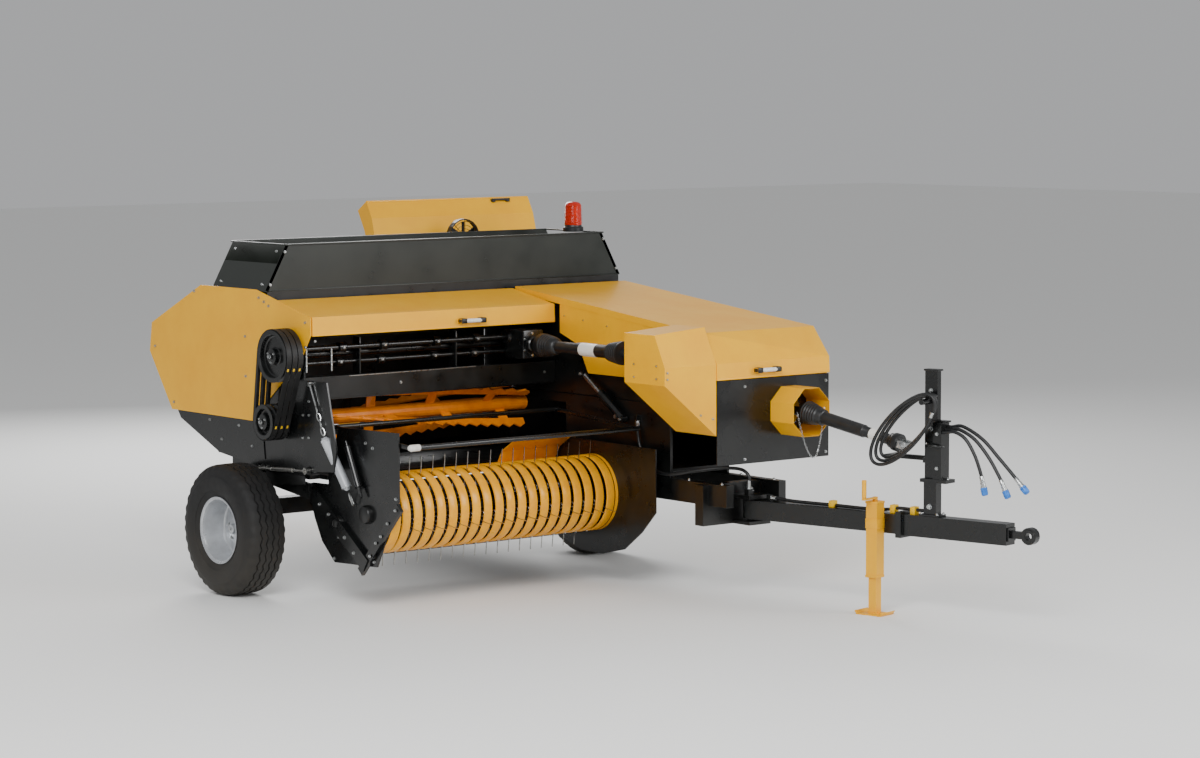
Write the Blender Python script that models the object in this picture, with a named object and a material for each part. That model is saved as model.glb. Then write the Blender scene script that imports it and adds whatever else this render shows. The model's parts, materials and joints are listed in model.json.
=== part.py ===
"""Small square baler, modelled as separate solids in metres.

The machine stands level on its two wheels and its jack.  It travels towards -Y, so its
right-hand side, with the pickup, is at -X.  The origin is on the ground, in the middle of
the machine's length and width.
"""
import math

import bmesh
import bpy
from mathutils import Matrix, Vector

# Driving dimensions, in metres
OVERALL_WIDTH = 3.24
OVERALL_LENGTH = 6.58
GAP = 0.0003                      # between solids that touch

TYRE_RADIUS = 0.4225
TYRE_WIDTH = 0.29
BEAD_RADIUS = 0.1975
WHEEL_Y = 1.0
ROUND = 28                        # sides of a wheel

SHIELD_X = -1.32                  # outer face of the end shield
HOOD_X = (0.63, 1.58)             # sides of the flywheel hood
HINGE_Y, HINGE_Z = 0.80, 1.885    # axis of both front hoods

CHAMBER_X = (0.71, 1.21)          # bale chamber over its walls
CHAMBER_Y = (-0.75, 2.75)
CHAMBER_Z = (0.78, 1.18)
WALL = 0.02
RAIL_Z = (0.60, 0.7397)
RAIL_WIDTH = 0.06

UPPER_PULLEY = (0.55, 1.56)       # y, z of the axes
LOWER_PULLEY = (0.66, 1.137)
UPPER_PULLEY_RADIUS = 0.165
LOWER_PULLEY_RADIUS = 0.1125
PULLEY_X = (-1.47, -1.34)

KNOTTER_HINGE = (1.78, 1.85)      # y, z
COVER_X = (0.20, 1.60)            # ends of the knotter cover
FAN_X, FAN_Z = 0.80, 2.20

PICKUP_X = (-1.19, 0.62)          # outer faces of the pickup's end plates
REEL = (-0.09, 0.60)              # y, z of the tine reel's axis
STRIPPER_RADIUS = 0.25
TINE_REACH = 0.385
TINE_PITCH = 0.09
TINE_COUNT = 19
FIRST_BAND = -1.11                # left end of the row of bands
PICKUP_PIVOT = (0.50, 0.70)       # y, z of the pickup's lift axis
PICKUP_ARM_END = (-0.10, 0.28)

DRAWBAR_PIVOT = (1.00, -1.20)
DRAWBAR_ANGLE = math.radians(12)  # plan angle of the drawbar as parked
DRAWBAR_Z = (0.505, 0.625)
EYE_RADIUS, EYE_HALF = 0.052, 0.024
EYE_TIP = (OVERALL_LENGTH / 2 + DRAWBAR_PIVOT[1] - EYE_HALF * math.sin(DRAWBAR_ANGLE))
EYE_REACH = EYE_TIP / math.cos(DRAWBAR_ANGLE) - EYE_RADIUS  # pivot to the middle of the eye
JACK_REACH = 1.02
STAND_REACH = 1.38

INPUT_AXIS = (1.23, 1.19)         # x, z of the flywheel and the input shaft's joint
PTO_JOINT_Y = -1.46
PTO_HEADING = math.radians(6)
HOSE_RADIUS = 0.011
COIL_REACH, COIL_ASIDE, COIL_Z = 1.235, -0.082, 1.17
COIL_LONG, COIL_SHORT = 0.29, 0.11
COIL_SLOPE = math.radians(44)     # of its long axis over the ground

# Colours: name -> (red, green, blue), roughness, metallic
FINISHES = {
    "yellow_paint": ((0.90, 0.52, 0.01), 0.35, 0.0),
    "orange_paint": ((0.85, 0.38, 0.02), 0.4, 0.0),
    "black_paint": ((0.02, 0.022, 0.02), 0.35, 0.0),
    "tyre_rubber": ((0.015, 0.015, 0.015), 0.9, 0.0),
    "hose_rubber": ((0.02, 0.02, 0.02), 0.5, 0.0),
    "silver_paint": ((0.6, 0.62, 0.64), 0.35, 0.4),
    "zinc_steel": ((0.55, 0.56, 0.58), 0.35, 1.0),
    "black_plastic": ((0.02, 0.02, 0.02), 0.45, 0.0),
    "beacon_orange": ((0.9, 0.12, 0.02), 0.1, 0.0),
    "blue_plastic": ((0.05, 0.25, 0.7), 0.4, 0.0),
}


def clear_scene():
    """Remove every object that the scene starts with."""
    for item in list(bpy.data.objects):
        bpy.data.objects.remove(item, do_unlink=True)


def finish(name):
    """Return the named material, made once."""
    found = bpy.data.materials.get(name)
    if found:
        return found
    colour, roughness, metallic = FINISHES[name]
    made = bpy.data.materials.new(name)
    made.use_nodes = True
    shader = made.node_tree.nodes["Principled BSDF"]
    shader.inputs["Base Color"].default_value = (*colour, 1.0)
    shader.inputs["Roughness"].default_value = roughness
    shader.inputs["Metallic"].default_value = metallic
    return made


# Shapes.  Each function returns a new closed bmesh in the machine's frame.
def block(x, y, z):
    """A box between two limits on each axis."""
    shape = bmesh.new()
    bmesh.ops.create_cube(shape, size=1.0)
    size = Matrix.Diagonal((x[1] - x[0], y[1] - y[0], z[1] - z[0], 1.0))
    middle = Matrix.Translation(((x[0] + x[1]) / 2, (y[0] + y[1]) / 2, (z[0] + z[1]) / 2))
    shape.transform(middle @ size)
    return shape


def on_axis(axis, along, first, second):
    """Place a point given along one axis and, in X Y Z order, on the other two."""
    if axis == "X":
        return Vector((along, first, second))
    if axis == "Y":
        return Vector((first, along, second))
    return Vector((first, second, along))


def prism(outline, axis, span):
    """An outline in the plane across the axis, extruded along it."""
    shape = bmesh.new()
    corners = [shape.verts.new(on_axis(axis, span[0], *point)) for point in outline]
    face = shape.faces.new(corners)
    pushed = bmesh.ops.extrude_face_region(shape, geom=[face])
    moved = [item for item in pushed["geom"] if isinstance(item, bmesh.types.BMVert)]
    step = on_axis(axis, span[1] - span[0], 0, 0)
    bmesh.ops.translate(shape, verts=moved, vec=step)
    bmesh.ops.recalc_face_normals(shape, faces=shape.faces)
    return shape


def turned(profile, axis, centre, sides=ROUND):
    """A profile of (along, radius) points, from axis to axis or closed, turned about an axis."""
    shape = bmesh.new()
    rings = []
    for along, radius in profile:
        if radius == 0:
            rings.append([shape.verts.new(on_axis(axis, along, *centre))])
            continue
        ring = []
        for step in range(sides):
            angle = 2 * math.pi * step / sides
            first = centre[0] + radius * math.cos(angle)
            second = centre[1] + radius * math.sin(angle)
            ring.append(shape.verts.new(on_axis(axis, along, first, second)))
        rings.append(ring)
    pairs = list(zip(rings, rings[1:]))
    if len(rings[0]) > 1:
        pairs.append((rings[-1], rings[0]))
    for low, high in pairs:
        for step in range(sides):
            after = (step + 1) % sides
            corners = [low[step % len(low)], low[after % len(low)]]
            corners += [high[after % len(high)], high[step % len(high)]]
            shape.faces.new(list(dict.fromkeys(corners)))
    bmesh.ops.recalc_face_normals(shape, faces=shape.faces)
    return shape


def disc(axis, centre, radius, span, sides=ROUND):
    """A solid cylinder along an axis."""
    profile = [(span[0], 0), (span[0], radius), (span[1], radius), (span[1], 0)]
    return turned(profile, axis, centre, sides)


def rod(start, end, radius, sides=12):
    """A solid round bar between two points."""
    start, end = Vector(start), Vector(end)
    shape = disc("Z", (0, 0), radius, (0, (end - start).length), sides)
    turn = (end - start).to_track_quat("Z", "Y").to_matrix().to_4x4()
    shape.transform(Matrix.Translation(start) @ turn)
    return shape


def arc(centre, radius, first, last, steps):
    """Points on an arc between two angles in degrees."""
    points = []
    for step in range(steps + 1):
        angle = math.radians(first + (last - first) * step / steps)
        points.append((centre[0] + radius * math.cos(angle), centre[1] + radius * math.sin(angle)))
    return points


def strip(start, end, half):
    """The four corners of a straight band between two points, half its width to each side."""
    start, end = Vector(start), Vector(end)
    along = (end - start).normalized()
    aside = Vector((-along.y, along.x)) * half
    return [tuple(start + aside), tuple(start - aside), tuple(end - aside), tuple(end + aside)]


def trimmed(shape, point, normal):
    """Cut a shape with a plane, keep the side that the normal points away from, and close it."""
    everything = shape.verts[:] + shape.edges[:] + shape.faces[:]
    cut = bmesh.ops.bisect_plane(shape, geom=everything, plane_co=point, plane_no=normal, clear_outer=True)
    rim = [item for item in cut["geom_cut"] if isinstance(item, bmesh.types.BMEdge)]
    bmesh.ops.holes_fill(shape, edges=rim, sides=0)
    bmesh.ops.recalc_face_normals(shape, faces=shape.faces)
    return shape


def placed(shape, matrix):
    """Move a shape by a matrix and return it."""
    shape.transform(matrix)
    return shape


# Objects
def add_mesh(name, shape, origin, material):
    """Link a shape as an object whose origin is on its joint's axis or at the frame's."""
    shape.transform(Matrix.Translation(-Vector(origin)))
    mesh = bpy.data.meshes.new(name)
    shape.to_mesh(mesh)
    shape.free()
    mesh.materials.append(material)
    mesh.shade_smooth()
    mesh.set_sharp_from_angle(angle=math.radians(30))
    item = bpy.data.objects.new(name, mesh)
    item.location = origin
    bpy.context.collection.objects.link(item)
    return item


def solid(name, material, shapes, cuts=(), origin=(0, 0, 0)):
    """One closed piece: overlapping shapes joined, then cut, by exact Booleans."""
    item = add_mesh(name, shapes[0], origin, finish(material))
    steps = [("UNION", shape) for shape in shapes[1:]]
    steps += [("DIFFERENCE", shape) for shape in cuts]
    for number, (operation, shape) in enumerate(steps):
        helper = add_mesh(f"helper_{name}_{number}", shape, origin, finish(material))
        helper.hide_render = True
        helper.display_type = "WIRE"
        modifier = item.modifiers.new(f"{operation.lower()}_{number}", "BOOLEAN")
        modifier.operation = operation
        modifier.solver = "EXACT"
        modifier.object = helper
    return item


def wheel(side, name):
    """A tyre and its deep-dished rim; side is -1 for the pickup side and 1 for the other."""
    middle = side * (OVERALL_WIDTH - TYRE_WIDTH) / 2
    half = TYRE_WIDTH / 2
    tread = [(-0.115, BEAD_RADIUS), (-0.118, 0.235), (-half, 0.30), (-half, 0.35), (-0.12, 0.405),
             (-0.06, TYRE_RADIUS), (0.06, TYRE_RADIUS), (0.12, 0.405), (half, 0.35), (half, 0.30),
             (0.118, 0.235), (0.115, BEAD_RADIUS)]
    rim = [(-0.03, 0), (-0.03, 0.05), (-0.015, 0.062), (0.04, 0.062), (0.04, 0.186),
           (-0.1235, 0.186), (-0.1235, 0.213), (-0.1165, 0.213), (-0.1153, 0.197), (0.1153, 0.197),
           (0.1165, 0.213), (0.1235, 0.213), (0.1235, 0.186), (0.05, 0.186), (0.05, 0.062),
           (0.10, 0.062), (0.10, 0.033), (-0.01, 0.033), (-0.01, 0)]
    centre = (WHEEL_Y, TYRE_RADIUS)
    origin = (middle, *centre)
    inward = [(middle - side * along, radius) for along, radius in tread]
    solid(f"{name}_tyre", "tyre_rubber", [turned(inward, "X", centre)], origin=origin)
    inward = [(middle - side * along, radius) for along, radius in rim]
    solid(f"{name}_rim", "silver_paint", [turned(inward, "X", centre)], origin=origin)


def axle():
    """The cross tube, its two drop arms, the wheel spindles and the pickup's right pivot."""
    tube = block((-1.255, 1.285), (WHEEL_Y - 0.05, WHEEL_Y + 0.05), (0.495, 0.5997))
    centre = (WHEEL_Y, TYRE_RADIUS)
    low = arc(centre, 0.07, 180, 360, 6)
    right_plate = low + [(1.08, 0.56), (1.33, 0.66), (1.33, 0.88), (0.97, 0.88), (0.93, 0.56)]
    left_plate = low + [(1.07, 0.60), (0.93, 0.60)]
    spindle_end = OVERALL_WIDTH / 2 - TYRE_WIDTH / 2 + 0.006
    bracket = strip((1.25, 0.79), (0.46, 0.70), 0.05)
    shapes = [
        tube,
        prism(bracket, "X", (-1.262, -1.246)),
        disc("X", PICKUP_PIVOT, 0.02, (-1.25, PICKUP_X[0] - 0.005), 16),
        prism(right_plate, "X", (-1.275, -1.245)),
        prism(left_plate, "X", (1.275, 1.305)),
        disc("X", centre, 0.031, (-spindle_end, -1.25), 16),
        disc("X", centre, 0.031, (1.28, spindle_end), 16),
    ]
    solid("axle_beam", "black_paint", shapes)


def chassis_frame():
    """Two rails under the bale chamber, their crossmembers, the drawbar's lugs and pin, the
    pickup's left pivot and the port that the lift hose ends in."""
    inner = (CHAMBER_X[0], CHAMBER_X[0] + RAIL_WIDTH)
    outer = (CHAMBER_X[1] - RAIL_WIDTH, CHAMBER_X[1])
    x, y = DRAWBAR_PIVOT
    lug = (x - 0.09, x + 0.09)
    shapes = [
        block(inner, (-1.30, 2.60), RAIL_Z),
        block(outer, (-1.30, 2.60), RAIL_Z),
        block((inner[0] + 0.01, outer[1] - 0.01), (2.45, 2.55), (RAIL_Z[0] + 0.01, RAIL_Z[1] - 0.01)),
        block((inner[0] - 0.04, outer[1] + 0.04), (-1.12, -1.04), (0.47, RAIL_Z[1] - 0.01)),
        block(lug, (y - 0.09, -1.11), (0.472, 0.494)),
        block(lug, (y - 0.09, -1.11), (0.636, 0.66)),
        disc("Z", (x, y), 0.022, (0.46, 0.68), 16),
        block((x - 0.085, x - 0.045), (y - 0.075, y - 0.035), (0.65, LIFT_HOSE[-1][2] - 3 * GAP)),
        disc("X", PICKUP_PIVOT, 0.02, (PICKUP_X[1] + 0.005, inner[0] + 0.005), 16),
    ]
    solid("chassis_frame", "black_paint", shapes)


def chamber():
    """The bale chamber as four separate walls, its chute and its density screws."""
    inside = (CHAMBER_X[0] + WALL + GAP, CHAMBER_X[1] - WALL - GAP)
    low, high = CHAMBER_Z
    feed = block((CHAMBER_X[0] - 0.05, CHAMBER_X[0] + 0.05), (0.33, 0.99), (low + 0.03, high - 0.03))
    solid("chamber_floor", "black_paint", [block(inside, CHAMBER_Y, (low, low + WALL))])
    outer = [block((CHAMBER_X[1] - WALL, CHAMBER_X[1]), CHAMBER_Y, (RAIL_Z[1] + GAP, high + 0.03))]
    for y in (-0.7, -0.2, 0.42, 1.5, 2.1, 2.65):
        outer.append(block((CHAMBER_X[1] - 0.005, CHAMBER_X[1] + 0.03), (y, y + 0.06), (0.76, high + 0.02)))
    solid("chamber_outer_wall", "black_paint", outer)
    inner = [block((CHAMBER_X[0], CHAMBER_X[0] + WALL), CHAMBER_Y, (RAIL_Z[1] + GAP, high + 0.03))]
    for y in (2.32, 2.65):
        inner.append(block((CHAMBER_X[0] - 0.03, CHAMBER_X[0] + 0.005), (y, y + 0.06), (0.76, high + 0.02)))
    _, y, z = LIFT_HOSE[0]
    port = (CHAMBER_X[0] - 0.038, CHAMBER_X[0] + 0.005)
    inner.append(block(port, (y - 0.016, y + 0.016), (z + 3 * GAP, z + 0.035)))
    solid("chamber_inner_wall", "black_paint", inner, [feed])
    slots = [block((x - 0.012, x + 0.012), (1.80, 2.02), (high - 0.05, high + 0.05))
             for x in (0.87, 1.05)]
    roof = block(inside, (1.00, CHAMBER_Y[1] - 0.10), (high - WALL, high))
    solid("chamber_roof", "black_paint", [roof], slots)


def density_screws():
    """Two spring-loaded cranks on a cross bar that squeeze the rear of the chamber."""
    y, z = 2.55, CHAMBER_Z[1] + GAP
    shapes = [block((CHAMBER_X[0] + 0.03, CHAMBER_X[1] - 0.03), (y - 0.03, y + 0.03), (z, z + 0.04))]
    for x in (0.82, 1.10):
        shapes.append(disc("Z", (x, y), 0.016, (z + 0.03, z + 0.34), 12))
        shapes.append(disc("Z", (x, y), 0.032, (z + 0.08, z + 0.24), 16))
        shapes.append(block((x - 0.012, x + 0.11), (y - 0.012, y + 0.012), (z + 0.32, z + 0.344)))
        shapes.append(disc("Z", (x + 0.097, y), 0.011, (z + 0.335, z + 0.44), 12))
    solid("density_screws", "zinc_steel", shapes)


def chute():
    """The bale chute, hinged at the rear of the chamber floor."""
    hinge_y = CHAMBER_Y[1] + 0.03
    length = OVERALL_LENGTH / 2 - hinge_y
    x = (CHAMBER_X[0] + 0.03, CHAMBER_X[1] - 0.03)
    shapes = [
        block(x, (hinge_y - 0.012, hinge_y + length), (0.782, 0.79)),
        block((x[0], x[0] + 0.008), (hinge_y + 0.02, hinge_y + length - 0.001), (0.784, 0.87)),
        block((x[1] - 0.008, x[1]), (hinge_y + 0.02, hinge_y + length - 0.001), (0.784, 0.87)),
        disc("X", (hinge_y, 0.786), 0.014, (x[0] + 0.001, x[1] - 0.001), 12),
    ]
    solid("bale_chute", "yellow_paint", shapes, origin=(0, hinge_y, 0.786))


def knotters():
    """The knotter stack over the chamber and the fan that keeps it clean."""
    shapes = [
        block((0.76, 1.16), (1.72, 1.78), (CHAMBER_Z[1] + GAP, 1.42)),
        disc("X", (1.88, 1.36), 0.022, (0.765, 1.155), 12),
        disc("X", (1.88, 1.36), 0.11, (0.85, 0.88), 20),
        disc("X", (1.88, 1.36), 0.11, (1.03, 1.06), 20),
        block((0.77, 0.80), (1.74, 1.91), (1.33, 1.39)),
        block((1.12, 1.15), (1.74, 1.91), (1.33, 1.39)),
    ]
    solid("knotter_stack", "zinc_steel", shapes)


def knotter_cover():
    """The domed cover over the knotters, hinged at its front edge and standing open."""
    y, z = KNOTTER_HINGE
    left, right = COVER_X
    front = [(0.0, 0.004), (0.006, 0.15), (0.022, 0.33), (0.067, 0.49), (0.13, 0.61)]
    back = [(0.125, 0.605), (0.063, 0.492), (0.018, 0.331), (0.002, 0.151), (-0.004, 0.004)]
    end = [(0.0, 0.03)] + front[1:-1] + [(0.127, 0.607), (0.23, 0.54), (0.15, 0.40), (0.09, 0.20)]
    shell = [(y + out, z + up) for out, up in front + back]
    plate = [(y + out, z + up) for out, up in end]
    shapes = [
        prism(shell, "X", COVER_X),
        prism(plate, "X", (left + 0.0002, left + 0.004)),
        prism(plate, "X", (right - 0.004, right - 0.0002)),
        disc("X", KNOTTER_HINGE, 0.012, (left + 0.001, right - 0.001), 12),
    ]
    solid("knotter_cover", "yellow_paint", shapes, origin=(0, y, z))


def knotter_fan():
    """The fan that keeps the knotters clean, and the ring and post that carry it."""
    centre = (FAN_X, FAN_Z)
    hub = (FAN_X, 1.60, FAN_Z)
    blades = []
    for number in range(6):
        blade = block((-0.022, 0.022), (-0.002, 0.002), (0.02, 0.11))
        pitch = Matrix.Rotation(math.radians(30), 4, "Z")
        turn = Matrix.Rotation(math.radians(60 * number), 4, "Y") @ pitch
        blades.append(placed(blade, Matrix.Translation(hub) @ turn))
    solid("fan_rotor", "black_plastic", [disc("Y", centre, 0.03, (1.585, 1.615), 12)] + blades, origin=hub)
    ring = turned([(1.58, 0.122), (1.58, 0.13), (1.625, 0.13), (1.625, 0.122)], "Y", centre, 20)
    shapes = [ring,
              block((FAN_X - 0.124, FAN_X + 0.124), (1.622, 1.634), (FAN_Z - 0.012, FAN_Z + 0.012)),
              block((FAN_X - 0.018, FAN_X + 0.018), (1.62, 1.64), (1.90, FAN_Z))]
    solid("fan_bracket", "black_paint", shapes)


def gearbox_and_flywheel():
    """The main gearbox and flywheel, each one plain block inside the hood."""
    solid("main_gearbox", "black_paint", [block((0.95, 1.45), (-0.85, -0.35), (1.2103, 1.50))])
    shapes = [
        disc("Y", INPUT_AXIS, 0.20, (-1.10, -0.98), 24),
        disc("Y", INPUT_AXIS, 0.03, (-1.42, -0.99), 12),
    ]
    x, z = INPUT_AXIS
    solid("flywheel", "black_paint", shapes, origin=(x, -1.04, z))


def hood_body():
    """The fixed panels round the flywheel: two sides, the front plate and the PTO guard."""
    left, right = HOOD_X
    outline = [(-1.292, 1.10), (-1.292, 1.395), (-1.10, 1.66), (0.30, 1.845), (0.30, 1.62),
               (0.10, 1.55), (0.0, 1.37), (-0.93, 1.37), (-0.93, 1.10)]
    solid("hood_side_right", "yellow_paint", [prism(outline, "X", (left + 0.004, left + 0.012))])
    outline = [(-1.292, 0.87), (-1.292, 1.395), (-1.10, 1.66), (0.30, 1.845), (0.30, 0.87)]
    solid("hood_side_left", "yellow_paint", [prism(outline, "X", (right - 0.012, right - 0.004))])
    hole = disc("Y", INPUT_AXIS, 0.10, (-1.40, -1.20), 24)
    plate = block((left + 0.002, right - 0.002), (-1.30, -1.2923), (0.87, 1.405))
    solid("front_plate", "black_paint", [plate], [hole])


def pto_guard():
    """The eight-sided guard round the input shaft."""
    ring = [(-1.52, 0.166), (-1.3003, 0.166), (-1.3003, 0.163), (-1.52, 0.163)]
    shape = turned(ring, "Y", (0, 0), 8)
    turn = Matrix.Rotation(math.radians(22.5), 4, "Y")
    shape.transform(Matrix.Translation((INPUT_AXIS[0], 0, INPUT_AXIS[1])) @ turn)
    solid("pto_guard", "yellow_paint", [shape])


def side_cover():
    """The faceted box on the hood's side, over the feeder drive's chain, open towards the hood."""
    outer, inner = 0.21, HOOD_X[0] - GAP
    sheet = 0.006
    section = [(outer, 1.71), (outer, 1.40), (inner, 1.06), (inner, 1.74)]
    room = [(outer + sheet, 1.703), (outer + sheet, 1.404), (inner + 0.01, 1.071), (inner + 0.01, 1.733)]
    lean = Vector((0, -0.29, 0.145))
    knee = Vector((0, -1.295, 1.51))
    shell = trimmed(prism(section, "Y", (-1.295, -0.90)), knee, lean)
    hollow = trimmed(prism(room, "Y", (-1.289, -0.906)), knee - lean.normalized() * sheet, lean)
    solid("side_cover", "yellow_paint", [shell], [hollow])


def flywheel_hood():
    """The long lid over plunger and flywheel, hinged at its rear edge."""
    left, right = HOOD_X
    outer = [(HINGE_Y - 0.02, 1.905), (-1.15, 1.70), (-1.30, 1.515), (-1.306, 1.41)]
    inner = [(-1.302, 1.41), (-1.296, 1.513), (-1.147, 1.695), (HINGE_Y - 0.02, 1.900)]
    flange = [(HINGE_Y - 0.02, 1.903), (-1.15, 1.698), (-1.299, 1.514), (-1.305, 1.411),
              (-1.26, 1.411), (-1.25, 1.50), (-1.12, 1.66), (HINGE_Y - 0.02, 1.862)]
    shapes = [
        prism(outer + inner, "X", (left, right)),
        prism(flange, "X", (left + 0.0002, left + 0.0035)),
        prism(flange, "X", (right - 0.0035, right - 0.0002)),
    ]
    shapes += handle_bar((0.93, 1.13), -1.303, 1.46)
    solid("flywheel_hood", "yellow_paint", shapes, origin=(0, HINGE_Y, HINGE_Z))


def feeder_hood():
    """The front hood over the feeder, hinged at its upper edge."""
    x = (-1.305, 0.615)
    outer = [(HINGE_Y - 0.01, 1.893), (0.331, 1.81), (0.327, 1.69)]
    inner = [(0.331, 1.69), (0.335, 1.806), (HINGE_Y - 0.01, 1.888)]
    end = [(HINGE_Y - 0.012, 1.891), (0.333, 1.809), (0.329, 1.692), (0.42, 1.70), (HINGE_Y - 0.012, 1.86)]
    shapes = [prism(outer + inner, "X", x)]
    shapes.append(prism(end, "X", (x[0] + 0.0002, x[0] + 0.004)))
    shapes.append(prism(end, "X", (x[1] - 0.004, x[1] - 0.0002)))
    shapes += handle_bar((-0.18, 0.02), 0.3295, 1.735)
    solid("feeder_hood", "yellow_paint", shapes, origin=(0, HINGE_Y, HINGE_Z))


def handle_bar(x, face, z):
    """A grab handle standing off a front face: two feet and a bar along X."""
    feet = [block((x[0] + step, x[0] + step + 0.03), (face - 0.045, face + 0.002), (z - 0.014, z + 0.014))
            for step in (0.0, x[1] - x[0] - 0.03)]
    bar = rod((x[0] + 0.002, face - 0.036, z), (x[1] - 0.002, face - 0.036, z), 0.011, 10)
    return feet + [bar]


def end_shield():
    """The yellow panel at the pickup end of the housing, with a hole for the drive's shaft."""
    outline = [(2.00, 1.11), (2.275, 1.485), (2.244, 1.676), (1.62, 1.956), (0.95, 1.956),
               (0.331, 1.81), (0.333, 1.69), (0.42, 1.57), (1.005, 1.108)]
    hole = disc("X", UPPER_PULLEY, 0.035, (-1.4, -1.2), 16)
    solid("end_shield", "yellow_paint", [prism(outline, "X", (SHIELD_X, SHIELD_X + 0.006))], [hole])


def housing():
    """The black plates that make the feeder housing and the deck above it."""
    left = SHIELD_X + 0.006 + GAP
    wall_outline = [(0.42, 0.80), (0.42, 1.66), (0.84, 1.86), (1.62, 1.90), (2.20, 1.66), (2.22, 1.49),
                    (1.90, 1.06), (1.424, 0.869), (0.80, 0.80)]
    upper_hole = disc("X", UPPER_PULLEY, 0.035, (-1.4, -1.2), 16)
    lower_hole = disc("X", LOWER_PULLEY, 0.035, (-1.4, -1.2), 16)
    wing = [(0.46, 1.41), (0.17, 1.41), (0.065, 0.99), (0.10, 0.855), (0.46, 0.83)]
    shapes = [prism(wall_outline, "X", (left, left + 0.012)),
              prism(wing, "X", (left + 0.0002, left + 0.0118)),
              prism([(0.873, 0.871), (1.424, 0.869), (1.70, 1.107), (0.90, 1.107)], "X",
                    (SHIELD_X, left + 0.002))]
    solid("housing_end_wall", "black_paint", shapes, [upper_hole, lower_hole])
    x = (left + 0.012 + GAP, CHAMBER_X[0] - GAP)
    floor = [(0.375, 0.80), (0.385, 0.77), (1.06, 0.77), (1.25, 0.85), (1.30, 1.00), (1.29, 1.003),
             (1.235, 0.86), (1.05, 0.80)]
    notches = [block((x[0] - 0.1, PICKUP_X[0] + 0.02), (0.3, 0.47), (0.7, 0.9)),
               block((PICKUP_X[1] - 0.02, x[1] + 0.1), (0.3, 0.47), (0.7, 0.9))]
    solid("feeder_floor", "black_paint", [prism(floor, "X", (-1.244, x[1]))], notches)
    beam = [(0.45, 1.28), (0.51, 1.28), (0.51, 1.42), (0.45, 1.42)]
    solid("feeder_beam", "black_paint", [prism(beam, "X", x)])
    rear = [(1.24, 1.02), (1.2465, 1.02), (1.2465, 1.94), (1.24, 1.94)]
    beam = block((x[0], HOOD_X[1] - 0.02), (0.90, 1.00), (1.62, 1.853))
    deck = [(0.85, 1.85), (0.85, 1.945), (1.50, 1.945), (2.05, 1.72), (2.05, 1.71), (1.49, 1.935),
            (0.999, 1.935), (0.999, 1.85)]
    shapes = [beam, prism(deck, "X", (x[0], HOOD_X[1])), prism(rear, "X", (x[0], x[1]))]
    solid("housing_deck", "black_paint", shapes)


def twine_box():
    """The open black box along the top, with sloping ends."""
    foot, rim = 1.9453, 2.24
    left_foot, left_rim = -1.3125, -1.15
    right_foot, right_rim = 1.60, 1.44
    outer = [(left_foot, foot), (right_foot, foot), (right_rim, rim), (left_rim, rim)]
    inner = [(left_foot + 0.008, foot + 0.006), (right_foot - 0.008, foot + 0.006),
             (right_rim - 0.002, rim + 0.01), (left_rim + 0.002, rim + 0.01)]
    shell = prism(outer, "Y", (0.86, 1.49))
    hollow = prism(inner, "Y", (0.866, 1.484))
    solid("twine_box", "black_paint", [shell], [hollow])


def beacon():
    """The warning lamp on the twine box's far end."""
    centre = (1.38, 1.10)
    profile = [(2.2403, 0), (2.2403, 0.07), (2.285, 0.07), (2.285, 0.058), (2.42, 0.052),
               (2.44, 0.04), (2.44, 0)]
    solid("beacon", "beacon_orange", [turned(profile, "Z", centre, 24)])


def pulleys():
    """The two grooved pulleys, their shafts, and the banded belt round them."""
    for name, centre, radius, bore, end in (
            ("upper_pulley", UPPER_PULLEY, UPPER_PULLEY_RADIUS, 0.025, 0.40),
            ("lower_pulley", LOWER_PULLEY, LOWER_PULLEY_RADIUS, 0.025, -1.28)):
        near, far = PULLEY_X
        profile = [(near - 0.015, 0), (near - 0.015, 0.04), (near, 0.05), (near + 0.03, 0.055),
                   (near + 0.03, radius - 0.035), (near, radius - 0.03), (near, radius)]
        pitch = (far - near) / 3
        for groove in range(3):
            start = near + pitch * groove
            profile += [(start + 0.006, radius), (start + pitch / 2, radius - 0.014),
                        (start + pitch - 0.006, radius)]
        profile += [(far, radius), (far, bore), (end, bore), (end, 0)]
        clean = [profile[0]] + [b for a, b in zip(profile, profile[1:]) if a != b]
        solid(name, "black_paint", [turned(clean, "X", centre, 24)], origin=(near, *centre))


def belt():
    """The banded belt: three strands in the grooves, joined by a thin top band."""
    near, far = PULLEY_X
    pitch = (far - near) / 3
    big, small = Vector(UPPER_PULLEY), Vector(LOWER_PULLEY)
    across = big - small
    base = math.atan2(across.y, across.x)

    def loop(offset):
        top, low = UPPER_PULLEY_RADIUS + offset, LOWER_PULLEY_RADIUS + offset
        lean = math.acos((low - top) / across.length)
        upper = arc(big, top, math.degrees(base - lean), math.degrees(base + lean), 14)
        lower = arc(small, low, math.degrees(base + lean), math.degrees(base - lean + 2 * math.pi), 12)
        return upper + lower

    band = prism(loop(0.010), "X", (near + 0.004, far - 0.004))
    hole = prism(loop(0.003), "X", (near - 0.1, far + 0.1))
    solid("drive_belt", "hose_rubber", [band], [hole])


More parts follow.
